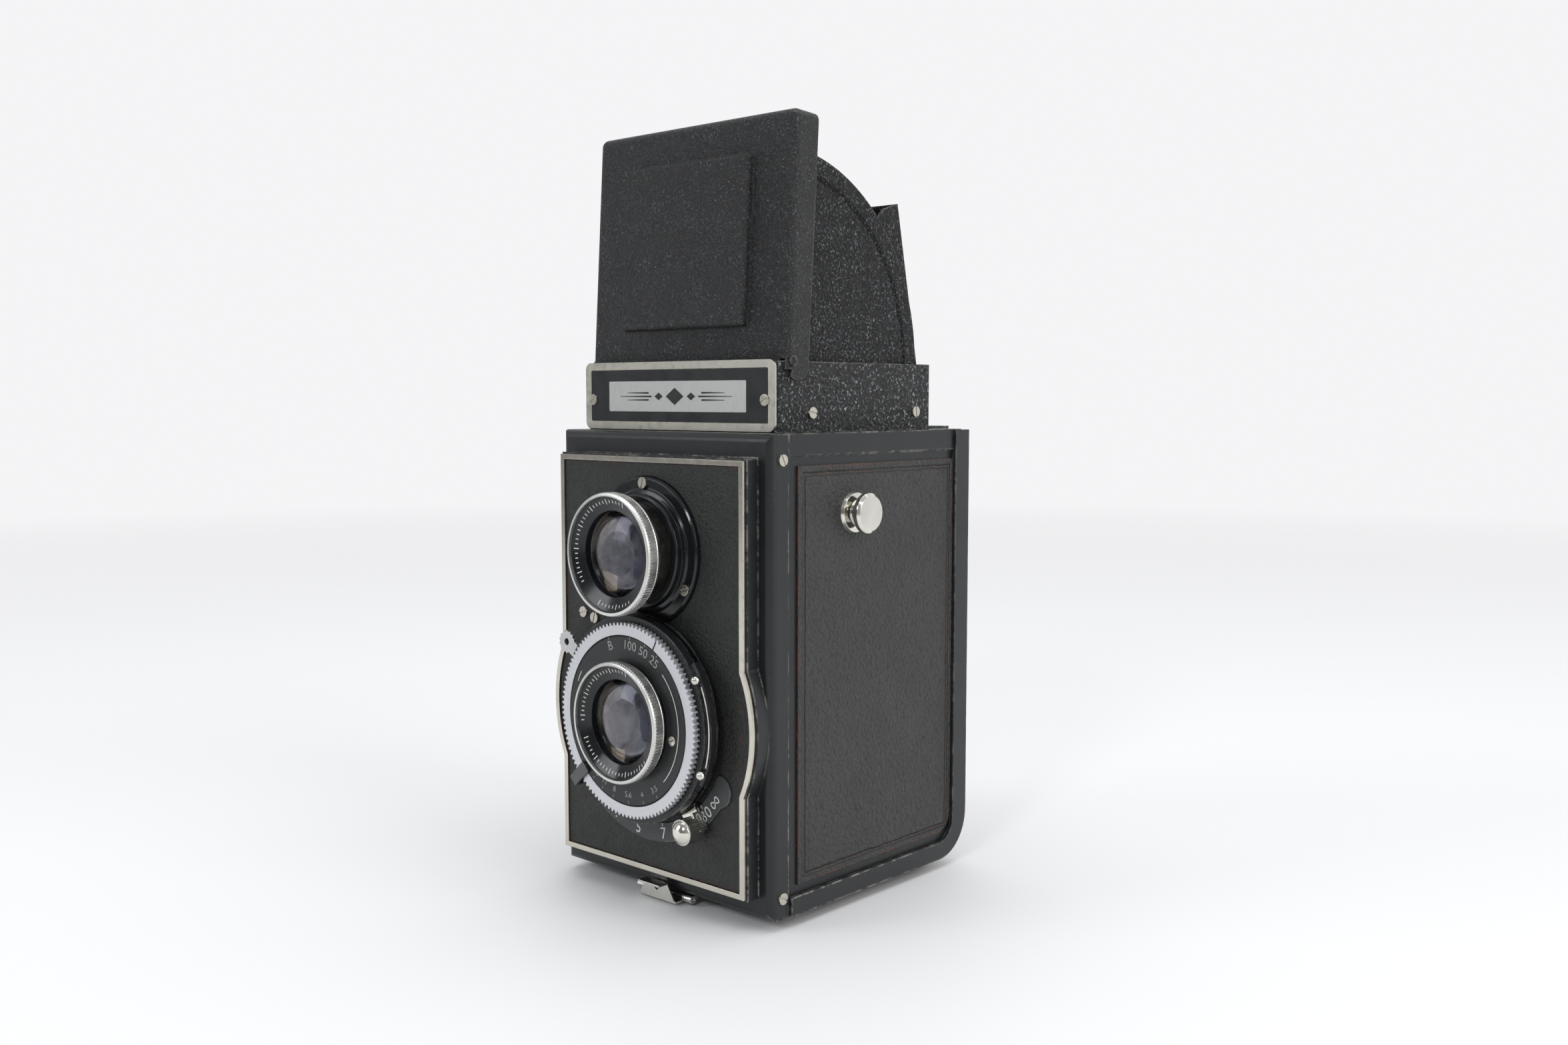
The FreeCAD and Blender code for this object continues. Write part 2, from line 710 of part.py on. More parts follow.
def magnifier():
    """Focusing magnifier folded against the lid's inner face, hinged at its upper edge."""
    base = "-lid_face + sheet"
    bracket = block(("-17", "17"), (f"{base} + 0.02", f"{base} + 0.5"), ("55.5", "59"))
    ears = [
        join(
            block((low, high), (f"{base} + 0.3", "0.4"), ("54", "57")),
            rod("x", "1.1", low, high, ("0.3", "54.6")),
        )
        for low, high in (("-17", "-16"), ("16", "17"))
    ]
    bracket = cut(join(bracket, *ears), rod("x", "0.45", "-18", "18", ("0.3", "54.6")))
    rod_pin = rod("x", "0.4", "-16.9", "16.9", ("0.3", "54.6"))
    frame = cut(
        join(
            block(("-15", "15"), ("-1.1", "-0.3"), ("24", "53.2")),
            rod("x", "1", "-15.6", "15.6", ("0.3", "54.6")),
            block(("-15", "15"), ("-1.1", "0.4"), ("52.4", "54.4")),
            rod("y", "13.5", "-1.1", "1.4", ("0", "38.2")),
        ),
        rod("y", "12", "-3", "3", ("0", "38.2")),
        rod("x", "0.45", "-18", "18", ("0.3", "54.6")),
    )
    glass = overlap(rod("y", "11.95", "-1.0", "2", ("0", "38.2")), ball("44", "0", "-42.6", "38.2"))
    node("magnifier_bracket", piece_on_lid(bracket, rod_pin))
    node("magnifier_frame", piece_on_lid(frame))
    node("magnifier_lens", piece_on_lid(glass))


def piece_on_lid(*pieces):
    """Carry pieces built in the lid's upright frame onto the leaning lid."""
    holder = group(*pieces)
    return place(holder, "0", "pivot_back", "pivot_height", Vector(1, 0, 0), "-lid_lean")


# ---- back cover --------------------------------------------------------------------------


def rounded_block(label, low, high, half, radius):
    """A block across the camera whose lower back edge is rounded, between two (y, z) corners."""
    body = new_body(label)
    add(body, "YZ_Plane", rectangle(low, high), f"-({half})", half)
    box = body.Shape.BoundBox
    round_edges(
        body,
        radius,
        lambda middle, along: abs(middle.y - box.YMax) < 0.01 and abs(middle.z - box.ZMin) < 0.01,
    )
    return body


def back_cover():
    """L-shaped back and bottom in one piece; its lips stand proud over the body's sides."""
    front, top = f"{CAP_REAR} + 0.3", "body_top - gap"
    proud = "body_half + lip_proud"
    outer = rounded_block("cover_outside", (front, "foot_height"), ("back_face", top), proud, "corner_round")
    inner = rounded_block(
        "cover_inside",
        (f"{front} - 1", "foot_height + wall"),
        ("back_face - wall", "body_top + 1"),
        f"{SIDE} + gap",
        "corner_round - wall",
    )
    sides = rounded_block(
        "cover_sides",
        (f"{front} - 1", "foot_height + lip_rise"),
        ("back_face - lip_depth", "body_top + 1"),
        f"{proud} + 1",
        "corner_round - lip_depth",
    )
    window = rod("y", "6", "back_face - 3", "back_face + 1", ("0", "35"))
    socket = rod("z", "5.5", "foot_height - 1", "foot_height + 3")
    node("back_cover", cut(outer, inner, sides, window, socket))
    skin = cut(
        block(("-35.5", "35.5"), ("back_face", "back_face + leather"), ("18", "118")),
        rod("y", "9.2", "back_face - 1", "back_face + 2", ("0", "35")),
        block(("-10.6", "10.6"), ("back_face - 1", "back_face + 2"), ("30", "58")),
    )
    node("back_leatherette", skin)


def back_fittings():
    """Pressure plate and springs, red window with its slide, tripod socket and feet."""
    node("pressure_plate", block(("-31", "31"), ("27.4", "28.6"), ("22", "80")))
    bow = [
        ("28.6", "47"),
        ("28.6", "55"),
        ("29", "55"),
        ("29.2", "47.5"),
        ("41.1", "34"),
        ("41.1", "29"),
        ("40.7", "29"),
        ("40.7", "33.8"),
    ]
    springs = []
    for number, centre in enumerate(("-16", "16")):
        spring = new_body(f"pressure_spring_{number}")
        add(spring, "YZ_Plane", bow, f"{centre} - 3", f"{centre} + 3")
        springs.append(spring)
    node("pressure_springs", group(*springs))
    ring = lathe(
        "red_window_ring",
        "y",
        [
            ("41.3", "4.5"),
            ("43.2", "4.5"),
            ("43.2", "9"),
            ("42.75", "9"),
            ("42.75", "5.95"),
            ("41.3", "5.95"),
        ],
    )
    ring = place(ring, "0", "0", "35")
    node("red_window", rod("y", "4.45", "41.5", "42.3", ("0", "35")))
    plate = join(
        block(("-7", "7"), ("43.3", "43.8"), ("28", "44")),
        block(("-3.5", "3.5"), ("43.7", "45"), ("41.5", "43.3")),
    )
    node("window_slide", plate)
    guides = [
        join(
            block(low, ("back_face + 0.02", "44.4"), ("27.5", "57")),
            block(lip, ("43.95", "44.4"), ("27.5", "57")),
        )
        for low, lip in ((("-10.4", "-7.2"), ("-8", "-5.6")), (("7.2", "10.4"), ("5.6", "8")))
    ]
    window_hole = rod("y", "9.1", "back_face - 1", "43.3", ("0", "35"))
    node("window_guides", group(ring, *[cut(guide, window_hole) for guide in guides]))
    bush = lathe(
        "tripod_bush",
        "z",
        [
            ("0", "socket_radius"),
            ("socket_depth", "socket_radius"),
            ("socket_depth", "0"),
            ("socket_depth + 0.9", "0"),
            ("socket_depth + 0.9", "5.4"),
            ("foot_height - 0.02", "5.4"),
            ("foot_height - 0.02", "8"),
            ("0.6", "8"),
            ("0", "7.4"),
        ],
    )
    node("tripod_bush", bush)
    feet = []
    for x in ("-31", "31"):
        for y in ("-25", "30"):
            foot = document.addObject("Part::Cone", "Foot")
            bind(foot, "Radius1", "3.2")
            bind(foot, "Radius2", "3.8")
            bind(foot, "Height", "foot_height")
            feet.append(place(foot, x, y, "0"))
    node("feet", group(*feet))


def back_hinge():
    """Hinge across the top of the back: leaf on the body, knuckles on both, one rod."""
    axis = ("hinge_back", "hinge_height")
    bore = rod("x", "0.8 + running", "-40", "40", axis)
    fixed = [("-31", "-24"), ("-8", "8"), ("24", "31")]
    moving = [("-23.8", "-8.2"), ("8.2", "23.8")]
    arms = []
    for low, high in fixed:
        arms.append(block((low, high), ("36", "hinge_back + 0.8"), ("body_top + 0.02", "body_top + 0.7")))
        arm_depth = ("hinge_back - 0.4", "hinge_back + 1.6")
        arms.append(block((low, high), arm_depth, ("hinge_height", "body_top + 0.7")))
        arms.append(rod("x", "1.6", low, high, axis))
    plate = block(("-31", "31"), ("33", "37"), ("body_top + 0.02", "body_top + 0.7"))
    hinge_rod = rod("x", "0.8", "-30.8", "30.8", axis)
    node("back_hinge_leaf", group(cut(join(plate, *arms), bore), hinge_rod))
    knuckles = []
    for low, high in moving:
        strap = block((low, high), ("back_face + 0.02", "back_face + 0.9"), ("118.3", "hinge_height"))
        knuckle = join(strap, rod("x", "1.6", low, high, axis))
        knuckles.append(cut(knuckle, rod("x", "0.8 + running", "-40", "40", axis)))
    node("back_hinge_knuckles", group(*knuckles))


def latch():
    """Front latch: base plate on the cover, a sprung leaf that turns on its pin, and the catch."""
    axis = ("latch_back", "latch_height")
    plate = block(("-10.5", "10.5"), ("latch_back + 2", "-24"), ("1.9", "foot_height - 0.05"))
    knuckles = [
        join(
            rod("x", "1.1", low, high, axis),
            block((low, high), ("latch_back", "latch_back + 2.4"), ("1.9", "2.8")),
        )
        for low, high in (("-10.5", "-7.6"), ("7.6", "10.5"))
    ]
    base = cut(join(plate, *knuckles), rod("x", "0.5 + running", "-12", "12", axis))
    node("latch_base", group(base, rod("x", "0.5", "-10.4", "10.4", axis)))
    body = new_body("latch_leaf")
    apron = [("-7", "0.9"), ("7", "0.9"), ("4.1", "5.6"), ("-4.1", "5.6")]
    add(body, "XZ_Plane", apron, "-42.4", "-41.9")
    add(body, "YZ_Plane", rectangle(("-45.4", "5.4"), ("-41.9", "5.9")), "-4.1", "4.1")
    add(body, "YZ_Plane", rectangle(("-42.4", "0.9"), ("latch_back", "1.4")), "-7.3", "7.3")
    add(body, "YZ_Plane", (axis, "1.0"), "-7.3", "7.3")
    remove(body, "YZ_Plane", (axis, "0.5 + running"), "-9", "9")
    remove(body, "XZ_Plane", (("0", "4"), "0.8"), "-43", "-41.5")
    node("latch_leaf", body)


# ---- film transport ----------------------------------------------------------------------


def spool(label, back, height):
    """A 120 film spool with a slotted core."""
    inner = "spool_half - 1"
    profile = [
        ("-spool_half", "2.6"),
        ("-spool_half", "spool_radius"),
        (f"-({inner})", "spool_radius"),
        (f"-({inner})", "5.5"),
        (inner, "5.5"),
        (inner, "spool_radius"),
        ("spool_half", "spool_radius"),
        ("spool_half", "2.6"),
        ("spool_half - 4", "2.6"),
        ("spool_half - 4", "0"),
        ("-spool_half + 4", "0"),
        ("-spool_half + 4", "2.6"),
    ]
    node(label, place(lathe(label, "x", profile), "0", back, height))


def winding():
    """Winding knob, its shaft and wrap-spring clutch; the feed side's pull knob."""
    spool("take_up_spool", "take_up_back", "take_up_height")
    spool("feed_spool", "feed_back", "feed_height")
    shaft = [
        ("-body_half - 1.2", "0"),
        ("-body_half - 1.2", "3"),
        ("-spool_half - 0.3", "3"),
        ("-spool_half - 0.3", "2.5"),
        ("-spool_half + 2.5", "2.5"),
        ("-spool_half + 2.5", "0"),
    ]
    shaft = place(lathe("winding_shaft", "x", shaft), "0", "take_up_back", "take_up_height")
    teeth, knob = 40, 11.0
    knurled = toothed_ring("winding_knob_rim", teeth, knob, knob - 0.4, 3.0, -8.0, 0.0)
    cap = rod("y", "10", "-9", "-7.9")
    collar = cut(rod("y", "6", "-0.1", "1.4"), rod("y", "3", "-1", "2"))
    winding_knob = join(knurled, cap, collar)
    place(winding_knob, "-body_half - 1.8", "take_up_back", "take_up_height", Vector(0, 0, 1), "-90")
    node("winding_knob", group(shaft, winding_knob))
    pull = [
        ("-body_half - 7", "0"),
        ("-body_half - 7", "6"),
        ("-body_half - 6.4", "6.8"),
        ("-body_half - 3.2", "6.8"),
        ("-body_half - 2.6", "6"),
        ("-body_half - 2.6", "3.6"),
        ("-body_half - 0.3", "3.6"),
        ("-body_half - 0.3", "3"),
        ("-spool_half - 0.3", "3"),
        ("-spool_half - 0.3", "2.4"),
        ("-spool_half + 1.6", "2.4"),
        ("-spool_half + 1.6", "0"),
    ]
    node("feed_knob", place(lathe("feed_knob", "x", pull), "0", "feed_back", "feed_height"))


# ---- lenses ------------------------------------------------------------------------------


def at_taking(thing):
    return place(thing, "0", "0", "taking_height")


def at_viewing(thing):
    return place(thing, "0", "0", VIEWING)


def lens_rim(label, front):
    """Chrome filter rim with a bevelled front; the 32 mm outside takes push-on accessories."""
    profile = [
        (front, "rim_radius - 1"),
        (front, "rim_radius - 0.4"),
        (f"{front} + 0.4", "rim_radius"),
        (f"{front} + 3.4", "rim_radius"),
        (f"{front} + 5.2", "rim_radius - 1.4"),
        (f"{front} + 5.2", "lens_radius + 0.2"),
        (f"{front} + 4.4", "lens_radius + 0.2"),
        (f"{front} + 2.6", "rim_radius - 1"),
    ]
    return lathe(label, "y", profile)


def name_ring(label, front):
    """Black dished ring between the rim and the glass."""
    profile = [
        (f"{front} + 0.9", "rim_radius - 1.05"),
        (f"{front} + 2.55", "rim_radius - 1.05"),
        (f"{front} + 4.3", "lens_radius + 0.25"),
        (f"{front} + 4.3", "lens_radius"),
        (f"{front} + 2.4", "lens_radius"),
    ]
    return lathe(label, "y", profile)


def lens_glass(front, radius, thick, bend):
    """A lens element with one curved face towards the front."""
    barrel = rod("y", radius, front, f"({front}) + {thick}")
    return overlap(barrel, ball(bend, "0", f"({front}) + {bend}", "0"))


def taking_unit():
    """Shutter housing with everything that slides with it when the lens is focused."""
    drum_front, drum_rear = "front_face - 11", "front_face - 8.2"
    profile = [
        (drum_front, "lens_radius + 0.2"),
        (drum_front, "drum_radius"),
        (drum_rear, "drum_radius"),
        (drum_rear, "barrel_radius"),
        ("front_face + 5", "barrel_radius"),
        ("front_face + 5", "barrel_radius - 1.5"),
        (f"{drum_rear} - 0.8", "barrel_radius - 1.5"),
        (f"{drum_rear} - 0.8", "lens_radius + 0.2"),
    ]
    housing = lathe("shutter_drum", "y", profile)
    lug_ring = sector("29", "27", f"{drum_front} + 0.6", drum_rear, -28, 38)
    slot = sector("29.5", "24.8", "front_face - 10.4", "front_face - 9.2", 138, 168)
    node("shutter_housing", at_taking(cut(join(housing, lug_ring), slot)))
    face = [
        ("front_face - 12.7", "lens_radius + 4.2"),
        ("front_face - 12.9", "face_radius - 0.4"),
        ("front_face - 12.5", "face_radius"),
        ("front_face - 11.02", "face_radius"),
        ("front_face - 11.02", "lens_radius + 4.2"),
    ]
    plate = lathe("shutter_plate", "y", face)
    dial = size_of("dial_radius")
    front = size_of("front_face")
    teeth, root, bore = 112, dial - 0.75, size_of("face_radius") + 0.1
    speed_ring = toothed_ring("speed_ring_teeth", teeth, dial, root, bore, front - 12.9, front - 11.15)
    node("speed_ring", at_taking(body_copy(speed_ring)))
    pointer = join(
        block(("face_radius - 1.2", "28.6"), ("front_face - 13.7", "front_face - 13.1"), ("-1.6", "1.6")),
        block(("27.8", "28.6"), ("front_face - 13.3", "front_face - 9"), ("-1.6", "1.6")),
    )
    node("aperture_lever", place(pointer, "0", "0", "taking_height", Vector(0, 1, 0), "137"))
    lever = cut(
        join(
            block(("25", "32"), ("front_face - 10.2", "front_face - 9.4"), ("-2", "2")),
            rod("y", "3.2", "front_face - 10.2", "front_face - 9.4", ("32.2", "0")),
        ),
        rod("y", "1", "front_face - 12", "front_face - 8", ("32.4", "0")),
    )
    node("release_lever", place(lever, "0", "0", "taking_height", Vector(0, 1, 0), "-147"))
    posts = []
    for angle in ("-29", "21"):
        post = join(
            rod("y", "0.7", "front_face - 11.4", f"{drum_front} + 0.7", ("28.4", "0")),
            ball("1.2", "28.4", "front_face - 11.6", "0"),
        )
        posts.append(place(post, "0", "0", "0", Vector(0, 1, 0), angle))
    node("sync_posts", at_taking(group(*posts)))
    front = "front_face - 17.4"
    node("taking_rim", at_taking(lens_rim("taking_rim", front)))
    node("taking_name_ring", at_taking(name_ring("taking_name_ring", front)))
    front_glass = lens_glass(f"{front} + 1.6", "lens_radius - 0.05", "4", "24")
    rear_glass = lens_glass("front_face - 3", "barrel_radius - 1.55", "4", "40")
    node("taking_lens", at_taking(group(front_glass, rear_glass)))
    cell = [
        ("front_face - 12.15", "lens_radius + 0.25"),
        ("front_face - 12.15", "lens_radius + 4.1"),
        ("front_face - 11.02", "lens_radius + 4.1"),
        ("front_face - 11.02", "lens_radius + 0.25"),
    ]
    node("shutter_face", at_taking(group(plate, lathe("taking_cell", "y", cell))))
    blades = rod("y", "lens_radius + 0.15", "front_face - 10", "front_face - 9.4")
    node("shutter_blades", at_taking(group(blades)))


def sector(outer, inner, low, high, first, last):
    """Part of a ring about the Y axis, between two angles from +X towards +Z."""
    outside, inside = (rod("y", radius, low, high) for radius in (outer, inner))
    for piece in (outside, inside):
        piece.Angle = last - first
        lying = Rotation(Vector(1, 0, 0), -90)
        piece.Placement = Placement(Vector(), Rotation(Vector(0, 1, 0), -last).multiply(lying))
        bind(piece, "Placement.Base.y", low)
    bind(inside, "Height", f"({high}) - ({low}) + 2")
    bind(inside, "Placement.Base.y", f"({low}) - 1")
    inside.Angle = 360
    return cut(outside, inside)


def viewing_unit():
    """Viewing lens: fixed flange, sliding tube, rim and glass, and its focusing gear."""
    flange = [
        (f"{PANEL} - 2", "16.6"),
        (f"{PANEL} - 2", "flange_radius - 0.5"),
        (f"{PANEL} - 1.6", "flange_radius"),
        (f"{PANEL} - 0.02", "flange_radius"),
        (f"{PANEL} - 0.02", "tube_radius + 0.95"),
        ("front_face + 5", "tube_radius + 0.95"),
        ("front_face + 5", "tube_radius + running"),
        (f"{PANEL} - 4.6", "tube_radius + running"),
        (f"{PANEL} - 4.6", "14.6"),
        (f"{PANEL} - 4.2", "15"),
        (f"{PANEL} - 2.6", "15"),
        (f"{PANEL} - 2.4", "16"),
    ]
    node("viewing_flange", at_viewing(lathe("viewing_flange", "y", flange)))
    places = []
    for angle in (90, -30, 210):
        x = 17.9 * math.cos(math.radians(angle))
        z = 17.9 * math.sin(math.radians(angle))
        places.append((f"{x:.3f}", f"{PANEL} - 2", f"{VIEWING} + {z:.3f}", FACE_FRONT, str(angle / 2 + 30)))
    drive_screws(places)
    front = "front_face - 18.9"
    tube_profile = tube(f"{front} + 5.25", "front_face + 6", "tube_radius", "lens_radius + 0.25")
    node("viewing_tube", at_viewing(lathe("viewing_tube", "y", tube_profile)))
    node("viewing_rim", at_viewing(lens_rim("viewing_rim", front)))
    node("viewing_name_ring", at_viewing(name_ring("viewing_name_ring", front)))
    front_glass = lens_glass(f"{front} + 1.6", "lens_radius - 0.05", "4", "22")
    rear_glass = lens_glass("front_face + 1", "lens_radius + 0.2", "3", "40")
    node("viewing_lens", at_viewing(group(front_glass, rear_glass)))


def focusing():
    """Focusing ring with its lever and knob, the two meshing gears and the distance scale."""
    flange_rear = f"{PANEL} - 2.15"
    gear_rear = "front_face + 2.1 + gear_thick"
    profile = [
        ("front_face - 6.6", "barrel_radius + running"),
        ("front_face - 6.6", "27.4"),
        (flange_rear, "27.4"),
        (flange_rear, "sleeve_radius"),
        ("front_face + 1.8", "sleeve_radius"),
        ("front_face + 1.8", "20"),
        (gear_rear, "20"),
        (gear_rear, "barrel_radius + running"),
    ]
    node("focus_ring", at_taking(lathe("focus_ring", "y", profile)))
    teeth = int(size_of("gear_teeth"))
    pitch_radius = size_of("lens_spacing") / 2
    module = 2 * pitch_radius / teeth
    low = size_of("front_face") + 2.1
    high = low + size_of("gear_thick")
    tip, root = pitch_radius + 0.85 * module, pitch_radius - 1.15 * module
    focus_gear = toothed_ring("focus_gear_teeth", teeth, tip, root, 20.02, low, high, math.pi / 2, 0.22)
    node("focus_gear", at_taking(body_copy(focus_gear)))
    half_pitch = math.pi / teeth
    gear_bore = size_of("tube_radius") + 1.0
    viewing_gear = toothed_ring(
        "viewing_gear_teeth", teeth, tip, root, gear_bore, low, high, -math.pi / 2 + half_pitch, 0.22
    )
    node("viewing_gear", at_viewing(body_copy(viewing_gear)))
    arm = join(
        block(("25", "34.5"), (f"{flange_rear} + 0.01", "front_face - 5.3"), ("-2.8", "2.8")),
        block(("27.5", "34.5"), ("front_face - 6.55", "front_face - 5.6"), ("-2.8", "2.8")),
        block(("29.3", "34.5"), ("front_face - 8.3", "front_face - 5.6"), ("2", "2.8")),
    )
    arm = place(arm, "0", "0", "taking_height", Vector(0, 1, 0), "53")
    knurls, radius = 36, 3.4
    grip = toothed_ring("focus_knob_grip", knurls, radius, radius - 0.2, 0.5, -5.2, 0.0)
    crown = overlap(rod("y", "3", "-6.8", "-5.1"), ball("3.6", "0", "-3.4", "0"))
    knob = join(grip, crown, rod("y", "1.2", "-0.1", "0.2"), rod("y", "0.6", "-5.2", "0"))
    angle = math.radians(-53)
    orbit = size_of("knob_orbit")
    place(
        knob,
        f"knob_orbit * {math.cos(angle):.5f}",
        "front_face - 6.75",
        f"taking_height + knob_orbit * {math.sin(angle):.5f}",
    )
    node("focus_lever", group(arm, knob))
    scale_front, scale_rear = f"{PANEL} - leather - 0.5", f"{PANEL} - leather - 0.02"
    plate = sector("scale_radius", "28.4", scale_front, scale_rear, -150, -33)
    lobe_x, lobe_z = 30.6 * math.cos(math.radians(-31)), 30.6 * math.sin(math.radians(-31))
    lobe = rod("y", "4.2", scale_front, scale_rear, (f"{lobe_x:.3f}", f"{lobe_z:.3f}"))
    inside = rod("y", "28.4", f"{PANEL} - 3", PANEL)
    node("distance_scale", at_taking(cut(join(plate, lobe), inside)))


front_casting()
front_dress()
body_casting()
side_leather()
mirror_box()
viewing_optics()
film_gate()
body_hardware()
hood_base()
nameplate()
hood_lid()
hood_sides()
hood_leaf()
magnifier()
back_cover()
back_fittings()
back_hinge()
latch()
winding()
taking_unit()
viewing_unit()
focusing()
node("screws", group(*screws))
document.recompute()

for thing in document.Objects:
    if "Invalid" in thing.State or "Error" in thing.State:
        raise RuntimeError(f"{thing.Name} ({thing.Label}) did not recompute: {thing.State}")
for part in nodes:
    if part.Shape.isNull() or not part.Shape.isValid():
        raise RuntimeError(f"{part.Label} is not a valid shape")

os.makedirs("parts", exist_ok=True)
for part in nodes:
    part.Shape.exportStep(f"parts/{part.Label}.step")
print(len(nodes), "nodes written")
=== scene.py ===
import math

import bmesh
import bpy
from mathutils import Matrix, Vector


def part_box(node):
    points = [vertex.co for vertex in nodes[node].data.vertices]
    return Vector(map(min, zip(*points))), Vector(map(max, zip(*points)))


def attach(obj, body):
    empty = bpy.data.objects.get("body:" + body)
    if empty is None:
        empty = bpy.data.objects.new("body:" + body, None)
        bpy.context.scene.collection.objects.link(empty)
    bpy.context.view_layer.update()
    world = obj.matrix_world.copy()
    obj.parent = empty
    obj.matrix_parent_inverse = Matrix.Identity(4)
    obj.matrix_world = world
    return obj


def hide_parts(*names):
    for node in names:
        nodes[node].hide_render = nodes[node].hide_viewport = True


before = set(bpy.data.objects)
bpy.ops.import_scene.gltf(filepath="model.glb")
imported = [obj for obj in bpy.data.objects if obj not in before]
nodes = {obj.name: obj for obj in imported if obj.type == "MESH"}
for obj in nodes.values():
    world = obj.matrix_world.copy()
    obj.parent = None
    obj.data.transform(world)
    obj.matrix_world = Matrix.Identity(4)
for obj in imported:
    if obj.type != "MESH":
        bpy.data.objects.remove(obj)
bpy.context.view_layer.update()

# Sizes and places are in millimetres: X to the right seen from the front, Y from the lenses to
# the back, Z up. Lights and the camera are in metres. MM turns millimetres into metres.
MM = 0.001


def box_mm(node):
    low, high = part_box(node)
    return low / MM, high / MM


def centre_mm(node):
    low, high = box_mm(node)
    return (low + high) / 2


TAKING = centre_mm("taking_rim")
VIEWING = centre_mm("viewing_rim")
TAKING_FRONT = box_mm("taking_rim")[0].y
VIEWING_FRONT = box_mm("viewing_rim")[0].y
FACE_FRONT = box_mm("shutter_face")[0].y
LID_PIVOT = centre_mm("hood_hinge_pins")
PLATE_LOW, PLATE_HIGH = box_mm("nameplate")


# ---- finishes ----------------------------------------------------------------------------


class Finish:
    """A procedural material built on one Principled shader."""

    def __init__(self, name, colour, roughness, metallic=0.0, **more):
        self.material = bpy.data.materials.new(name)
        self.material.use_nodes = True
        self.tree = self.material.node_tree
        self.shader = next(n for n in self.tree.nodes if n.type == "BSDF_PRINCIPLED")
        self.shader.inputs["Base Color"].default_value = (*colour, 1)
        self.shader.inputs["Roughness"].default_value = roughness
        self.shader.inputs["Metallic"].default_value = metallic
        for socket, value in more.items():
            self.shader.inputs[socket.replace("_", " ")].default_value = value
        self.place = self.add("ShaderNodeTexCoord").outputs["Object"]
        self.normal = None

    def add(self, kind, **settings):
        made = self.tree.nodes.new(kind)
        for key, value in settings.items():
            setattr(made, key, value)
        return made

    def feed(self, socket, value):
        """Links a socket to another, or sets it to a constant."""
        if isinstance(value, bpy.types.NodeSocket):
            self.tree.links.new(value, socket)
        else:
            socket.default_value = value

    def stretched(self, x, y, z):
        """Texture coordinates scaled along each axis: less than 1 draws the pattern out."""
        mapping = self.add("ShaderNodeMapping")
        mapping.inputs["Scale"].default_value = (x, y, z)
        self.feed(mapping.inputs["Vector"], self.place)
        return mapping.outputs["Vector"]

    def noise(self, size, detail=2.0, rough=0.5, distort=0.0, where=None):
        made = self.add("ShaderNodeTexNoise")
        self.feed(made.inputs["Vector"], where or self.place)
        made.inputs["Scale"].default_value = 1 / (size * MM)
        made.inputs["Detail"].default_value = detail
        made.inputs["Roughness"].default_value = rough
        made.inputs["Distortion"].default_value = distort
        return made.outputs["Fac"]

    def pebbles(self, size):
        """0 in the middle of each rounded cell, rising towards its border."""
        made = self.add("ShaderNodeTexVoronoi", feature="SMOOTH_F1")
        self.feed(made.inputs["Vector"], self.place)
        made.inputs["Scale"].default_value = 1 / (size * MM)
        return made.outputs["Distance"]

    def maths(self, operation, a, b=0.0, c=0.0, clamp=False):
        made = self.add("ShaderNodeMath", operation=operation, use_clamp=clamp)
        for socket, value in zip(made.inputs, (a, b, c)):
            self.feed(socket, value)
        return made.outputs[0]

    def fit(self, value, low, high, to_low=0.0, to_high=1.0):
        """Maps low..high to to_low..to_high, and holds the ends."""
        made = self.add("ShaderNodeMapRange", clamp=True)
        for socket, number in zip(made.inputs, (value, low, high, to_low, to_high)):
            self.feed(socket, number)
        return made.outputs["Result"]

    def blend(self, fac, a, b):
        """Colour a where fac is 0, colour b where it is 1."""
        made = self.add("ShaderNodeMix", data_type="RGBA")
        self.feed(made.inputs["Factor"], fac)
        for socket, colour in (("A", a), ("B", b)):
            target = next(s for s in made.inputs if s.name == socket and s.type == "RGBA")
            self.feed(target, (*colour, 1) if isinstance(colour, tuple) else colour)
        return next(s for s in made.outputs if s.type == "RGBA")

    def axes(self):
        """The point's own X, Y and Z in millimetres."""
        made = self.add("ShaderNodeSeparateXYZ")
        self.feed(made.inputs[0], self.place)
        return [self.maths("DIVIDE", out, MM) for out in made.outputs]

    def paint(self, socket):
        self.feed(self.shader.inputs["Base Color"], socket)

    def rough(self, socket):
        self.feed(self.shader.inputs["Roughness"], socket)

    def metal(self, socket):
        self.feed(self.shader.inputs["Metallic"], socket)

    def soften(self, radius):
        """Rounded look on the sharp edges of the CAD solids."""
        made = self.add("ShaderNodeBevel", samples=4)
        made.inputs["Radius"].default_value = radius * MM
        self.normal = made.outputs["Normal"]
        self.feed(self.shader.inputs["Normal"], self.normal)

    def edge(self, radius):
        """0 on flat ground, rising towards 1 on a sharp edge."""
        made = self.add("ShaderNodeBevel", samples=6)
        made.inputs["Radius"].default_value = radius * MM
        true = self.add("ShaderNodeNewGeometry").outputs["Normal"]
        product = self.add("ShaderNodeVectorMath", operation="DOT_PRODUCT")
        self.feed(product.inputs[0], made.outputs["Normal"])
        self.feed(product.inputs[1], true)
        return self.fit(product.outputs["Value"], 0.995, 0.85)

    def relief(self, height, depth, strength=1.0):
        """Bump on top of any relief already there. depth is in millimetres."""
        made = self.add("ShaderNodeBump")
        made.inputs["Strength"].default_value = strength
        made.inputs["Distance"].default_value = depth * MM
        self.feed(made.inputs["Height"], height)
        if self.normal:
            self.feed(made.inputs["Normal"], self.normal)
        self.normal = made.outputs["Normal"]
        self.feed(self.shader.inputs["Normal"], self.normal)


DUST = (0.2, 0.19, 0.18)
BARE_METAL = (0.42, 0.4, 0.37)
# Pale colour of the wrinkle paint's edges: rubbed paint, and a painted highlight as well.
EDGE_WEAR_AND_HIGHLIGHT = (0.3, 0.29, 0.28)
BROWN_GRIME = (0.16, 0.11, 0.07)
RUBBED_LEATHER = (0.085, 0.036, 0.026)


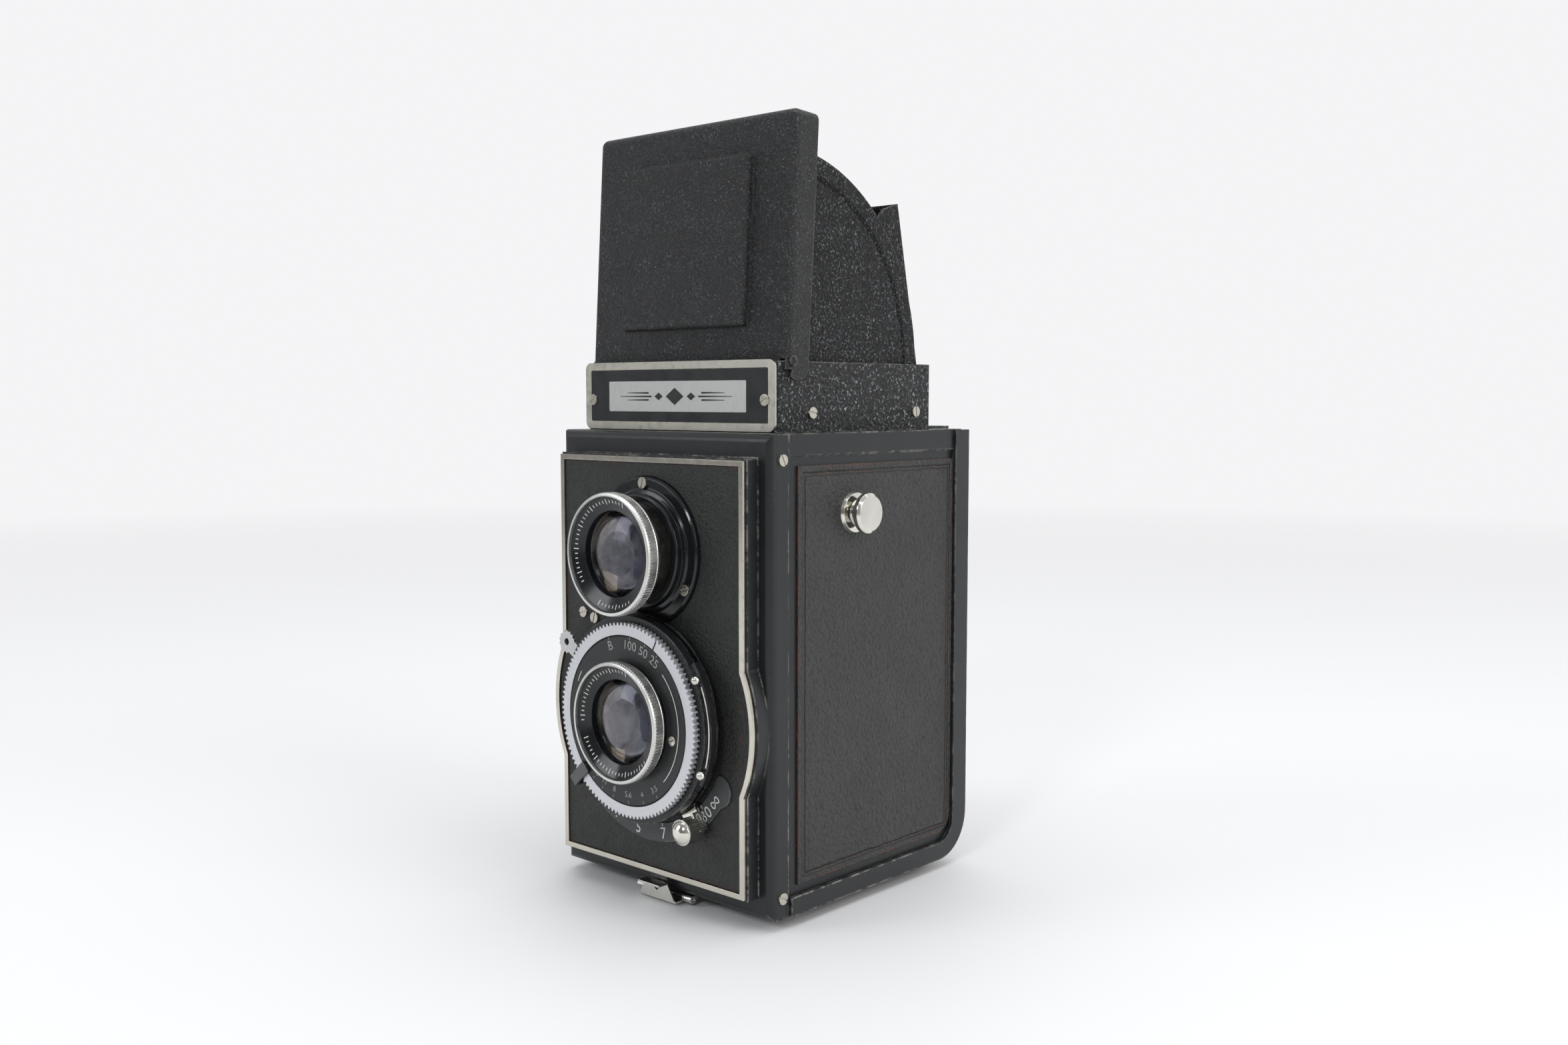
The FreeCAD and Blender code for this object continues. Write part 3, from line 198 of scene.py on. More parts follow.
def shade(colour, factor):
    return tuple(min(1, factor * channel) for channel in colour)


def crackle(name, size, depth, painted_glints, roughness, sheen, rub):
    """Black wrinkle paint: fine worm-like relief with pale glints on its crests, which are painted
    highlights in its colour.

    size and depth are a wrinkle's width and height. painted_glints, sheen and rub are the
    strengths of the painted glints, of the shader's highlights and of the pale edges, which are
    real wear and a painted highlight in one.
    """
    f = Finish(name, (0.02, 0.021, 0.022), roughness, Specular_IOR_Level=sheen)
    f.soften(0.5)
    worms = f.noise(size, 3, 0.7, 0.8)
    grains = f.pebbles(size * 1.2)
    height = f.maths("MULTIPLY_ADD", grains, -0.8, worms)
    # Painted highlights: pale glints put into the colour, where glossy crests would catch light.
    crest = f.fit(f.noise(size, 2, 0.7, 0.5), 0.56, 0.68)
    field = f.fit(f.noise(6, 3), 0.35, 0.65, 0.35, 1.0)
    glints = f.maths("MULTIPLY", crest, f.maths("MULTIPLY", field, painted_glints))
    tone = f.blend(f.noise(14, 4), (0.006, 0.007, 0.0075), (0.015, 0.016, 0.017))
    ruddy = f.fit(f.noise(4, 2), 0.5, 0.75, 0.0, 0.5)
    tone = f.blend(ruddy, tone, (0.017, 0.011, 0.011))
    # Painted shade: the low borders between the grains are darkened.
    tone = f.blend(f.fit(grains, 0.25, 0.6), tone, (0.003, 0.003, 0.003))
    tone = f.blend(glints, tone, (0.42, 0.44, 0.46))
    border = f.edge(0.7)
    # Pale edges: real wear, and also a painted highlight along the rims.
    rubbed = f.maths("MULTIPLY", border, f.fit(f.noise(2.5, 3), 0.42, 0.7, 0.15 * rub, rub))
    f.paint(f.blend(rubbed, tone, EDGE_WEAR_AND_HIGHLIGHT))
    satin = f.fit(f.noise(3, 3), 0.3, 0.7, roughness - 0.06, roughness + 0.12)
    f.rough(f.maths("MULTIPLY_ADD", border, -0.12, satin))
    f.relief(height, depth)
    return f


def pressed_line(f, inner, outer, depth):
    """Step round the lid's pivot, between two radii, as the hood's side walls have."""
    _, y, z = f.axes()
    up = f.maths("SUBTRACT", z, LID_PIVOT.z)
    back = f.maths("SUBTRACT", y, LID_PIVOT.y)
    squares = f.maths("ADD", f.maths("MULTIPLY", up, up), f.maths("MULTIPLY", back, back))
    f.relief(f.fit(f.maths("SQRT", squares), inner, outer), depth)


def enamel(name, roughness, wear, tone, peel):
    """Stoved black enamel with dust and rubbed edges. peel is the depth of its orange peel."""
    f = Finish(name, tone, roughness, Specular_IOR_Level=0.42)
    f.soften(0.35)
    rubbed = f.maths("MULTIPLY", f.edge(0.9), f.fit(f.noise(3.5, 4, 0.7), 0.45, 0.6))
    rubbed = f.maths("MULTIPLY", rubbed, f.fit(f.noise(30, 2), 0.4, 0.6, 0.3, 1.0))
    rubbed = f.maths("MULTIPLY", rubbed, wear, clamp=True)
    specks = f.fit(f.noise(0.5, 1), 0.72, 0.8, 0.0, 0.25)
    base = f.blend(f.noise(18, 3), shade(tone, 0.75), shade(tone, 1.35))
    base = f.blend(specks, base, DUST)
    f.paint(f.blend(rubbed, base, BARE_METAL))
    f.metal(f.maths("MULTIPLY", rubbed, 0.8))
    f.rough(f.fit(f.noise(6, 4), 0.3, 0.7, roughness - 0.05, roughness + 0.09))
    f.relief(f.noise(0.9, 2), peel, 0.6)
    return f


def leather(name, size, depth, roughness, dark, light, lines=None):
    """Grained black leatherette. lines gives a mask of rubbed brown edges and a pressed line."""
    f = Finish(name, dark, roughness, Specular_IOR_Level=0.32)
    f.soften(0.5)
    grains = f.pebbles(size)
    folds = f.noise(size * 2.2, 3, 0.6, 0.6)
    height = f.maths("MULTIPLY_ADD", grains, -1.0, f.maths("MULTIPLY", folds, 0.55))
    tone = f.blend(f.noise(22, 4), dark, light)
    # Painted shade: the low borders between the grains are darkened.
    painted_pit_shade = f.fit(grains, 0.35, 0.75, 0.0, 0.55)
    tone = f.blend(painted_pit_shade, tone, shade(dark, 0.45))
    specks = f.fit(f.noise(0.7, 2), 0.72, 0.8, 0.0, 0.35)
    tone = f.blend(specks, tone, (0.16, 0.155, 0.15))
    if lines:
        worn, groove = lines(f)
        tone = f.blend(worn, tone, RUBBED_LEATHER)
        height = f.maths("ADD", height, groove)
    f.paint(tone)
    f.rough(f.fit(f.noise(5, 3), 0.3, 0.7, roughness - 0.05, roughness + 0.1))
    f.relief(height, depth, 0.9)
    return f


def to_nearest(f, value, low, high):
    """Distance from a value to the nearer of two limits."""
    return f.maths("MINIMUM", f.maths("SUBTRACT", value, low), f.maths("SUBTRACT", high, value))


def side_lines(f):
    """Brown rub along the side panels' edges, and the pressed line just inside them."""
    line_inset = 2.2
    _, y, z = f.axes()
    low, high = box_mm("side_leatherettes")
    inside = f.maths("MINIMUM", to_nearest(f, y, low.y, high.y), to_nearest(f, z, low.z, high.z))
    wobble = f.maths("MULTIPLY_ADD", f.noise(4, 3), 0.8, -0.4)
    inside = f.maths("ADD", inside, wobble)
    from_line = f.maths("ABSOLUTE", f.maths("SUBTRACT", inside, line_inset))
    edge = f.fit(inside, 0.9, 0.15, 0.0, 0.75)
    line = f.fit(from_line, 0.45, 0.1, 0.0, 0.5)
    patchy = f.fit(f.noise(6, 4, 0.7), 0.42, 0.62)
    worn = f.maths("MULTIPLY", f.maths("MAXIMUM", edge, line), patchy)
    groove = f.fit(from_line, 0.7, 0.2, 0.0, -2.2)
    return worn, groove


def front_lines(f):
    """Brown rub where the front leather meets the trim, and no pressed line."""
    half_width = 33.6
    x, _, z = f.axes()
    low, high = box_mm("front_leatherette")
    side = f.maths("ABSOLUTE", f.maths("SUBTRACT", half_width, f.maths("ABSOLUTE", x)))
    near = f.maths("MINIMUM", to_nearest(f, z, low.z, high.z), side)
    patchy = f.fit(f.noise(5, 4, 0.7), 0.5, 0.64)
    return f.maths("MULTIPLY", f.fit(near, 1.2, 0.2, 0.0, 0.6), patchy), 0.0


def plated(name, colour, roughness, tarnish, grime=BROWN_GRIME, softened=0.25):
    """Nickel or chrome plate with smudges, brown specks and fine scratches."""
    f = Finish(name, colour, roughness, 1.0)
    if softened:
        f.soften(softened)
    spots = f.fit(f.noise(1.1, 3, 0.7), 0.64, 0.74, 0.0, tarnish)
    tone = f.blend(f.noise(7, 5, 0.65), shade(colour, 0.8), shade(colour, 1.12))
    f.paint(f.blend(spots, tone, grime))
    f.rough(f.fit(f.noise(2.2, 4, 0.7), 0.3, 0.75, roughness * 0.75, roughness * 1.6))
    f.relief(f.noise(0.35, where=f.stretched(1, 1, 0.12)), 0.004, 0.5)
    return f


def brushed(name, colour, roughness, metallic=1.0, along=(0.1, 1, 1), depth=0.006):
    """Satin metal. Its streaks are drawn out on the axis that along makes small."""
    f = Finish(name, colour, roughness, metallic)
    f.soften(0.2)
    streaks = f.noise(0.25, 3, 0.6, where=f.stretched(*along))
    f.paint(f.blend(streaks, shade(colour, 0.78), shade(colour, 1.15)))
    f.rough(f.fit(streaks, 0.3, 0.7, roughness - 0.08, roughness + 0.12))
    f.relief(streaks, depth, 0.5)
    return f


def mark_paint(name, colour, roughness, chips=0.0):
    """Engraved numbers and lines filled with paint that has worn thin in places."""
    f = Finish(name, colour, roughness)
    lost = f.fit(f.noise(0.45, 3, 0.7), 0.55, 0.7, 0.0, chips)
    tone = f.blend(f.noise(2, 2), shade(colour, 0.85), colour)
    f.paint(f.blend(lost, tone, (0.03, 0.03, 0.03)))
    f.rough(f.fit(f.noise(1.5, 2), 0.3, 0.7, roughness - 0.05, roughness + 0.1))
    return f


def coated_lens():
    """Clear glass with a thin bluish coating and faint smears."""
    f = Finish("coated_glass", (0.97, 0.98, 1.0), 0.015, Transmission_Weight=1.0, IOR=1.55)
    f.shader.inputs["Thin Film Thickness"].default_value = 115.0
    f.shader.inputs["Thin Film IOR"].default_value = 1.38
    f.rough(f.fit(f.noise(5, 4, 0.6), 0.45, 0.75, 0.008, 0.07))
    return f


def element_with_painted_reflection():
    """Haze, and a painted reflection of the dim pale room, in an inner element's colour: lavender
    grey and patchy.
    """
    f = Finish("inner_element", (0.1, 0.1, 0.115), 0.1, Coat_Weight=1.0, Coat_Roughness=0.03)
    haze_and_reflection_mask = f.fit(f.noise(6, 3, 0.55, 1.2), 0.35, 0.68)
    f.paint(f.blend(haze_and_reflection_mask, (0.03, 0.028, 0.042), (0.17, 0.168, 0.19)))
    return f


def frosted_screen():
    f = Finish("ground_screen", (0.86, 0.88, 0.86), 0.55, Transmission_Weight=0.6, IOR=1.5)
    f.relief(f.noise(0.12, 2), 0.02, 0.6)
    f.rough(f.fit(f.noise(8, 3), 0.3, 0.7, 0.5, 0.62))
    return f


def silvered_mirror():
    f = Finish("mirror_silver", (0.86, 0.87, 0.86), 0.03, 1.0)
    tarnish = f.fit(f.noise(6, 4), 0.55, 0.8)
    f.paint(f.blend(tarnish, (0.88, 0.89, 0.88), (0.55, 0.5, 0.4)))
    return f


def ruby_glass():
    f = Finish("red_window_glass", (0.5, 0.015, 0.012), 0.06, Transmission_Weight=0.75, IOR=1.49)
    f.paint(f.blend(f.noise(3, 3), (0.42, 0.01, 0.01), (0.6, 0.03, 0.02)))
    return f


def white_paper():
    """Thins out with distance, from near to far in metres, so that it has no horizon."""
    near, far = 0.35, 1.5
    f = Finish("white_paper", (0.82, 0.82, 0.82), 0.6)
    f.paint(f.blend(f.noise(400, 2), (0.8, 0.8, 0.805), (0.83, 0.83, 0.83)))
    reach = f.add("ShaderNodeVectorMath", operation="LENGTH")
    f.feed(reach.inputs[0], f.place)
    f.feed(f.shader.inputs["Alpha"], f.fit(reach.outputs["Value"], near, far, 1.0, 0.0))
    return f


lid_paint = crackle("crackle_fine", 0.5, 0.3, painted_glints=0.26, roughness=0.4, sheen=0.4, rub=0.45)
base_paint = crackle("crackle_coarse", 0.95, 0.6, painted_glints=0.85, roughness=0.32, sheen=0.3, rub=0.9)
wall_paint = crackle("crackle_wall", 0.66, 0.42, painted_glints=0.52, roughness=0.42, sheen=0.2, rub=0.4)
pressed_line(wall_paint, inner=47.5, outer=49.0, depth=1.3)

casting = enamel("black_enamel", 0.34, wear=1.0, tone=(0.012, 0.0133, 0.014), peel=0.02)
# A little lighter than the body's enamel: painted sheen on the back cover.
cover = enamel("cover_enamel_painted_sheen", 0.34, wear=1.2, tone=(0.014, 0.0155, 0.0165), peel=0.02)
gloss_black = enamel("gloss_black", 0.13, wear=0.0, tone=(0.008, 0.009, 0.01), peel=0.006)
satin_black = enamel("satin_black", 0.3, wear=0.15, tone=(0.012, 0.013, 0.014), peel=0.012)
drum_black = enamel("drum_black", 0.24, wear=0.5, tone=(0.01, 0.011, 0.012), peel=0.01)
inside_black = enamel("inside_matt_black", 0.75, wear=0.1, tone=(0.012, 0.012, 0.012), peel=0.05)
spool_black = enamel("spool_lacquer", 0.35, wear=0.9, tone=(0.02, 0.02, 0.02), peel=0.02)
scale_grey = enamel("scale_grey", 0.42, wear=0.3, tone=(0.04, 0.043, 0.045), peel=0.01)

front_leather = leather(
    "front_leather", 0.6, 0.22, 0.5, (0.018, 0.019, 0.019), (0.034, 0.034, 0.032), front_lines
)
# Lighter than the back leather, which is the same covering, to make up for a weaker lamp on the
# right: light painted into the colour of this side.
side_leather = leather(
    "side_leather", 0.9, 0.45, 0.42, (0.027, 0.028, 0.027), (0.047, 0.047, 0.045), side_lines
)
back_leather = leather("back_leather", 0.9, 0.42, 0.42, (0.024, 0.025, 0.024), (0.042, 0.042, 0.04))

trim_plate = plated("nickel_trim", (0.6, 0.57, 0.5), 0.15, tarnish=0.7)
stud_plate = plated("polished_nickel", (0.74, 0.72, 0.66), 0.1, tarnish=0.2)
screw_plate = plated("screw_nickel", (0.6, 0.57, 0.5), 0.26, tarnish=0.6)
latch_plate = plated("latch_chrome", (0.68, 0.67, 0.63), 0.16, tarnish=0.4)
rim_plate = plated("rim_chrome", (0.68, 0.68, 0.66), 0.32, tarnish=0.15, softened=0)
frame_plate = plated("plate_nickel", (0.5, 0.49, 0.43), 0.34, tarnish=0.7, softened=0)
tube_brass = plated(
    "blackened_brass", (0.075, 0.075, 0.068), 0.34, tarnish=0.4, grime=(0.16, 0.14, 0.09), softened=0
)

dial_metal = brushed("dial_aluminium", (0.64, 0.65, 0.67), 0.42, 0.85, (1, 1, 1), 0.003)
centre_metal = brushed("plate_silver", (0.5, 0.51, 0.49), 0.45, 0.8, (1, 1, 0.1), 0.004)
lever_metal = brushed("lever_alloy", (0.6, 0.6, 0.6), 0.38)
pointer_metal = brushed("pointer_dark", (0.12, 0.12, 0.125), 0.4, 0.7)
steel = brushed("bright_steel", (0.5, 0.5, 0.5), 0.3)
blue_steel = brushed("spring_steel", (0.2, 0.21, 0.24), 0.3)
gear_brass = brushed("gear_brass", (0.62, 0.47, 0.2), 0.3)

white_mark = mark_paint("white_marks", (0.72, 0.72, 0.69), 0.5, chips=0.45)
grey_mark = mark_paint("worn_marks", (0.34, 0.35, 0.33), 0.5, chips=0.6)
black_mark = mark_paint("black_marks", (0.012, 0.012, 0.013), 0.35)

inner_glass = element_with_painted_reflection()

NODE_FINISHES = (
    (lid_paint, "hood_lid"),
    (wall_paint, "hood_side_walls hood_rear_leaf"),
    (base_paint, "hood_base hood_hinge_pins"),
    (casting, "front_panel body_shell back_hinge_leaf back_hinge_knuckles"),
    (cover, "back_cover"),
    (front_leather, "front_leatherette"),
    (side_leather, "side_leatherettes"),
    (back_leather, "back_leatherette"),
    (trim_plate, "front_trim window_guides window_slide feet tripod_bush nameplate"),
    (stud_plate, "strap_studs winding_knob feed_knob focus_lever"),
    (screw_plate, "screws"),
    (latch_plate, "latch_base latch_leaf sync_posts"),
    (rim_plate, "taking_rim viewing_rim"),
    (gloss_black, "viewing_flange taking_name_ring viewing_name_ring"),
    (satin_black, "shutter_face magnifier_frame"),
    (drum_black, "shutter_housing focus_ring"),
    (inside_black, "mirror_box film_gate pressure_plate screen_frame"),
    (spool_black, "take_up_spool feed_spool"),
    (scale_grey, "distance_scale"),
    (dial_metal, "speed_ring"),
    (lever_metal, "release_lever"),
    (pointer_metal, "aperture_lever"),
    (steel, "spool_bearings magnifier_bracket"),
    (blue_steel, "pressure_springs shutter_blades"),
    (tube_brass, "viewing_tube"),
    (gear_brass, "focus_gear viewing_gear"),
    (coated_lens(), "taking_lens viewing_lens magnifier_lens"),
    (frosted_screen(), "ground_glass"),
    (silvered_mirror(), "reflex_mirror"),
    (ruby_glass(), "red_window"),
)

for finish, names in NODE_FINISHES:
    for name in names.split():
        materials = nodes[name].data.materials
        materials.clear()
        materials.append(finish.material)


# ---- mesh tools --------------------------------------------------------------------------


def link(name, data):
    made = bpy.data.objects.new(name, data)
    bpy.context.scene.collection.objects.link(made)
    return made


def piece(name, points, faces, body, finish, smooth=True, bevel=0.0, replaces=()):
    """A mesh in millimetres that rides on a body."""
    mesh = bpy.data.meshes.new(name)
    mesh.from_pydata([Vector(p) * MM for p in points], [], faces)
    mesh.validate()
    made = bmesh.new()
    made.from_mesh(mesh)
    bmesh.ops.recalc_face_normals(made, faces=made.faces)
    made.to_mesh(mesh)
    made.free()
    mesh.materials.append(finish.material)
    if smooth:
        mesh.shade_smooth()
        mesh.set_sharp_from_angle(angle=math.radians(35))
    thing = link(name, mesh)
    if bevel:
        round_off = thing.modifiers.new("Edges", "BEVEL")
        round_off.width = bevel * MM
        round_off.segments = 2
        round_off.limit_method = "ANGLE"
    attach(thing, body)
    if replaces:
        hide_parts(*replaces)


def turns(steps):
    """Angles in radians, evenly round a circle."""
    return [2 * math.pi * i / steps for i in range(steps)]


def polar(centre, radius, angle):
    """X and Z of a point round a centre, at an angle from the right."""
    return centre.x + radius * math.cos(angle), centre.z + radius * math.sin(angle)


def circle_point(centre, y, radius, angle):
    x, z = polar(centre, radius, angle)
    return x, y, z


def revolve(profile, centre, steps, ribs=0):
    """Points and faces of a ring about a line along Y. A profile point is y, radius, rib depth."""
    points, faces = [], []
    for i, angle in enumerate(turns(steps)):
        valley = ribs and (i * ribs * 4 // steps) % 4 >= 2
        for y, radius, *depth in profile:
            cut = depth[0] if depth and valley else 0
            points.append(circle_point(centre, y, radius - cut, angle))
    n = len(profile)
    for i in range(steps):
        here, beyond = i * n, (i + 1) % steps * n
        for k in range(n):
            after = (k + 1) % n
            faces.append((here + k, here + after, beyond + after, beyond + k))
    return points, faces


def disc(profile, centre, steps):
    """Like revolve, for an open profile whose last point is on the axis."""
    n = len(profile) - 1
    tip = steps * n
    points = [circle_point(centre, y, r, angle) for angle in turns(steps) for y, r in profile[:-1]]
    points.append((centre.x, profile[-1][0], centre.z))
    faces = []
    for i in range(steps):
        here, beyond = i * n, (i + 1) % steps * n
        for k in range(n - 1):
            faces.append((here + k, here + k + 1, beyond + k + 1, beyond + k))
        faces.append((here + n - 1, tip, beyond + n - 1))
    return points, faces


def rounded(half, low, high, radius, corner=6):
    """Outline of a rectangle with round corners: X and Z, centred on X = 0."""
    corners = (
        (half - radius, high - radius, 0),
        (-half + radius, high - radius, 90),
        (-half + radius, low + radius, 180),
        (half - radius, low + radius, 270),
    )
    points = []
    for x, z, start in corners:
        for i in range(corner + 1):
            angle = math.radians(start + 90 * i / corner)
            points.append((x + radius * math.cos(angle), z + radius * math.sin(angle)))
    return points


def slab(name, loop, front, back, body, finish, bevel=0.1):
    """An outline in X and Z, from one Y to another."""
    n = len(loop)
    points = [(x, y, z) for y in (front, back) for x, z in loop]
    faces = [tuple(range(n)), tuple(range(2 * n - 1, n - 1, -1))]
    faces += [(i, (i + 1) % n, n + (i + 1) % n, n + i) for i in range(n)]
    piece(name, points, faces, body, finish, bevel=bevel)


def hollow(name, outer, inner, front, back, body, finish, replaces, bevel=0.1):
    """A slab with a hole. Its two outlines have the same number of points."""
    n = len(outer)
    loops = ((front, outer), (front, inner), (back, inner), (back, outer))
    points = [(x, y, z) for y, loop in loops for x, z in loop]
    faces = []
    for ring in range(4):
        here, beyond = ring * n, (ring + 1) % 4 * n
        for i in range(n):
            j = (i + 1) % n
            faces.append((here + i, here + j, beyond + j, beyond + i))
    piece(name, points, faces, body, finish, bevel=bevel, replaces=replaces)


# ---- lenses ------------------------------------------------------------------------------


def lens_mount(name, centre, front, body, node):
    """Chrome rim: polished lip, fine knurl, a plain taper behind it and a dished inside."""
    knurl_depth = 0.26
    lip = 15.0
    bore = 11.4
    profile = [
        (front, lip),
        (front, 15.5),
        (front + 0.12, 15.75),
        (front + 0.5, 15.93),
        (front + 0.62, 15.8),
        (front + 0.7, 15.72),
        (front + 0.82, 15.98, knurl_depth),
        (front + 3.0, 15.98, knurl_depth),
        (front + 3.15, 15.7),
        (front + 3.4, 15.8),
        (front + 5.15, 14.6),
        (front + 5.2, 14.4),
        (front + 5.2, bore),
        (front + 4.4, bore),
        (front + 2.6, lip),
    ]
    points, faces = revolve(profile, centre, 480, ribs=120)
    piece(name, points, faces, body, rim_plate, replaces=(node,))


def lens_inside(stem, centre, front, body):
    """Stepped retaining ring, and the second element seen through the front glass."""
    barrel = 11.1
    ring = [
        (front + 5.7, barrel),
        (front + 5.7, 10.2),
        (front + 5.9, 9.9),
        (front + 5.9, 8.9),
        (front + 6.1, 8.7),
        (front + 6.9, 8.7),
        (front + 6.9, barrel),
    ]
    points, faces = revolve(ring, centre, 96)
    piece(stem + "_inner_ring", points, faces, body, gloss_black)

    element_radius, crown, base = 8.6, 0.9, 6.3
    dish = []
    for degrees in range(90, 0, -10):
        a = math.radians(degrees)
        dish.append((front + base - crown * math.cos(a), element_radius * math.sin(a)))
    dish.append((front + base - crown, 0.0))
    points, faces = disc(dish, centre, 72)
    piece(stem + "_inner_element", points, faces, body, inner_glass)


# ---- marks -------------------------------------------------------------------------------

# Which way the top of a mark points, seen from the middle of its dial.
OUTWARD, INWARD, IN_PLACE = 1, -1, 0

# Angles of the numbers round the taking lens, anticlockwise from the right, in degrees.
SPEEDS = {"B": 107, "100": 85, "50": 70, "25": 57}
APERTURES = {"22": -138, "16": -127, "11": -116, "8": -104, "5.6": -88, "4": -72, "3.5": -57}
DISTANCES = {"4": -114.5, "5": -97.5, "7": -79.5, "30": -46}
FAR_AWAY = -37


def glyph(text, height):
    """Flat points and faces of a number, centred on the origin."""
    curve = bpy.data.curves.new("glyph", "FONT")
    curve.body = text
    curve.align_x = "CENTER"
    curve.align_y = "CENTER"
    curve.size = height * 1.4
    curve.resolution_u = 3
    holder = link("glyph", curve)
    bpy.context.view_layer.update()
    seen = holder.evaluated_get(bpy.context.evaluated_depsgraph_get())
    mesh = bpy.data.meshes.new_from_object(seen)
    points = [(v.co.x, v.co.y) for v in mesh.vertices]
    faces = [tuple(p.vertices) for p in mesh.polygons]
    bpy.data.objects.remove(holder)
    bpy.data.meshes.remove(mesh)
    bpy.data.curves.remove(curve)
    return points, faces


def dash(width, height):
    w, h = width / 2, height / 2
    return [(-w, -h), (w, -h), (w, h), (-w, h)], [(0, 1, 2, 3)]


def loop_mark(width, height, line):
    """A lying figure of eight: the mark for far away."""
    points, faces, steps = [], [], 40
    for t in turns(steps):
        x, y = width / 2 * math.sin(t), height / 2 * math.sin(2 * t)
        dx, dy = width / 2 * math.cos(t), height * math.cos(2 * t)
        size = math.hypot(dx, dy)
        for side in (-line / 2, line / 2):
            points.append((x - dy / size * side, y + dx / size * side))
    for i in range(steps):
        j = (i + 1) % steps
        faces.append((2 * i, 2 * i + 1, 2 * j + 1, 2 * j))
    return points, faces


def arc_mark(radius, first, last, line):
    """A thin arc, already in its place round the dial."""
    points, faces = [], []
    steps = int(abs(last - first) / 2)
    for i in range(steps + 1):
        a = math.radians(first + (last - first) * i / steps)
        for r in (radius - line / 2, radius + line / 2):
            points.append((r * math.cos(a), r * math.sin(a)))
        if i:
            faces.append((2 * i - 2, 2 * i - 1, 2 * i + 1, 2 * i))
    return points, faces


def marks(name, entries, centre, surface, body, finish):
    """One mesh of flat marks, a hair in front of a surface.

    An entry is a mark, its angle and radius on the dial, and which way its top points.
    surface gives Y at a radius.
    """
    gap = 0.03
    points, faces = [], []
    for (flat, flat_faces), angle, radius, up in entries:
        start = len(points)
        a = math.radians(angle)
        for u, v in flat:
            x, z = u, v
            if up != IN_PLACE:
                x = radius * math.cos(a) + up * (u * math.sin(a) + v * math.cos(a))
                z = radius * math.sin(a) + up * (-u * math.cos(a) + v * math.sin(a))
            points.append((centre.x + x, surface(math.hypot(x, z)) - gap, centre.z + z))
        faces += [tuple(start + k for k in face) for face in flat_faces]
    piece(name, points, faces, body, finish, smooth=False)


def scale(numbers, height, radius, up, tick, tick_radius):
    """Entries for numbers at their angles, and for a tick beside each."""
    entries = [(glyph(text, height), angle, radius, up) for text, angle in numbers.items()]
    entries += [(dash(*tick), angle, tick_radius, OUTWARD) for angle in numbers.values()]
    return entries


def face_surface(r):
    """Y of the slightly dished shutter face at a radius."""
    inner, outer, dish = 15.4, 22.1, 0.2
    return FACE_FRONT + dish * (outer - min(max(r, inner), outer)) / (outer - inner)


def face_marks():
    """Speeds and apertures on the shutter face, its two thin arcs, and the speed ring's index."""
    numbers = scale(SPEEDS, 2.5, 20.0, OUTWARD, tick=(0.18, 0.7), tick_radius=22.0)
    numbers += scale(APERTURES, 1.55, 19.6, INWARD, tick=(0.18, 0.8), tick_radius=21.6)
    marks("face_numbers", numbers, TAKING, face_surface, "taking_unit", grey_mark)
    arcs = (arc_mark(19.8, 45, -44, 0.24), arc_mark(20.7, 148, 157, 0.22))
    lines = [(arc, 0, 0, IN_PLACE) for arc in arcs]
    marks("face_lines", lines, TAKING, face_surface, "taking_unit", white_mark)
    front = box_mm("speed_ring")[0].y
    index = [(dash(0.45, 2.6), 62, 23.9, OUTWARD)]
    marks("speed_index", index, TAKING, lambda r: front, "speed_ring", black_mark)


def distance_marks():
    """Distances on the plate below the focusing ring."""
    front = box_mm("distance_scale")[0].y
    entries = scale(DISTANCES, 3.1, 31.3, INWARD, tick=(0.25, 1.0), tick_radius=28.9)
    entries.append((loop_mark(3.2, 1.7, 0.35), FAR_AWAY, 31.2, INWARD))
    marks("distance_numbers", entries, TAKING, lambda r: front, "camera_body", white_mark)


def ring_marks(name, centre, front, body, groups):
    """Plain fine graduations round the dished ring, in groups from one angle to another."""
    pitch, radius, width = 5.2, 13.6, 0.26
    long_mark, short_mark = 1.35, 0.75

    def surface(r):
        return front + 0.9 + (14.95 - r) * 0.4

    entries = []
    for first, last in groups:
        count = int(abs(last - first) / pitch)
        for i in range(count + 1):
            mark = dash(width, long_mark if i % 5 == 0 else short_mark)
            entries.append((mark, first + (last - first) * i / count, radius, OUTWARD))
    marks(name, entries, centre, surface, body, white_mark)


# ---- nameplate ---------------------------------------------------------------------------

# The pale centre of the plate, inside its dark band.
CENTRE_LOW = PLATE_LOW.z + 4.9
CENTRE_HIGH = PLATE_HIGH.z - 5.2


def nameplate():
    """Nickel rim, dark band and a pale centre, in place of the plain plate."""
    half, low, high = PLATE_HIGH.x, PLATE_LOW.z, PLATE_HIGH.z
    front, back = PLATE_LOW.y, PLATE_HIGH.y
    outer = rounded(half, low, high, 2.0)
    inner = rounded(half - 2.3, low + 2.2, high - 2.1, 0.4)
    hollow(
        "nameplate_rim", outer, inner, front, back, "camera_body", frame_plate, ("nameplate",)
    )
    band = rounded(half - 2.25, low + 2.15, high - 2.05, 0.4)
    slab("nameplate_band", band, front + 0.18, back, "camera_body", satin_black, bevel=0)
    centre = rounded(26.2, CENTRE_LOW, CENTRE_HIGH, 0.35)
    slab(
        "nameplate_centre", centre, front + 0.02, back - 0.1, "camera_body", centre_metal, 0.05
    )


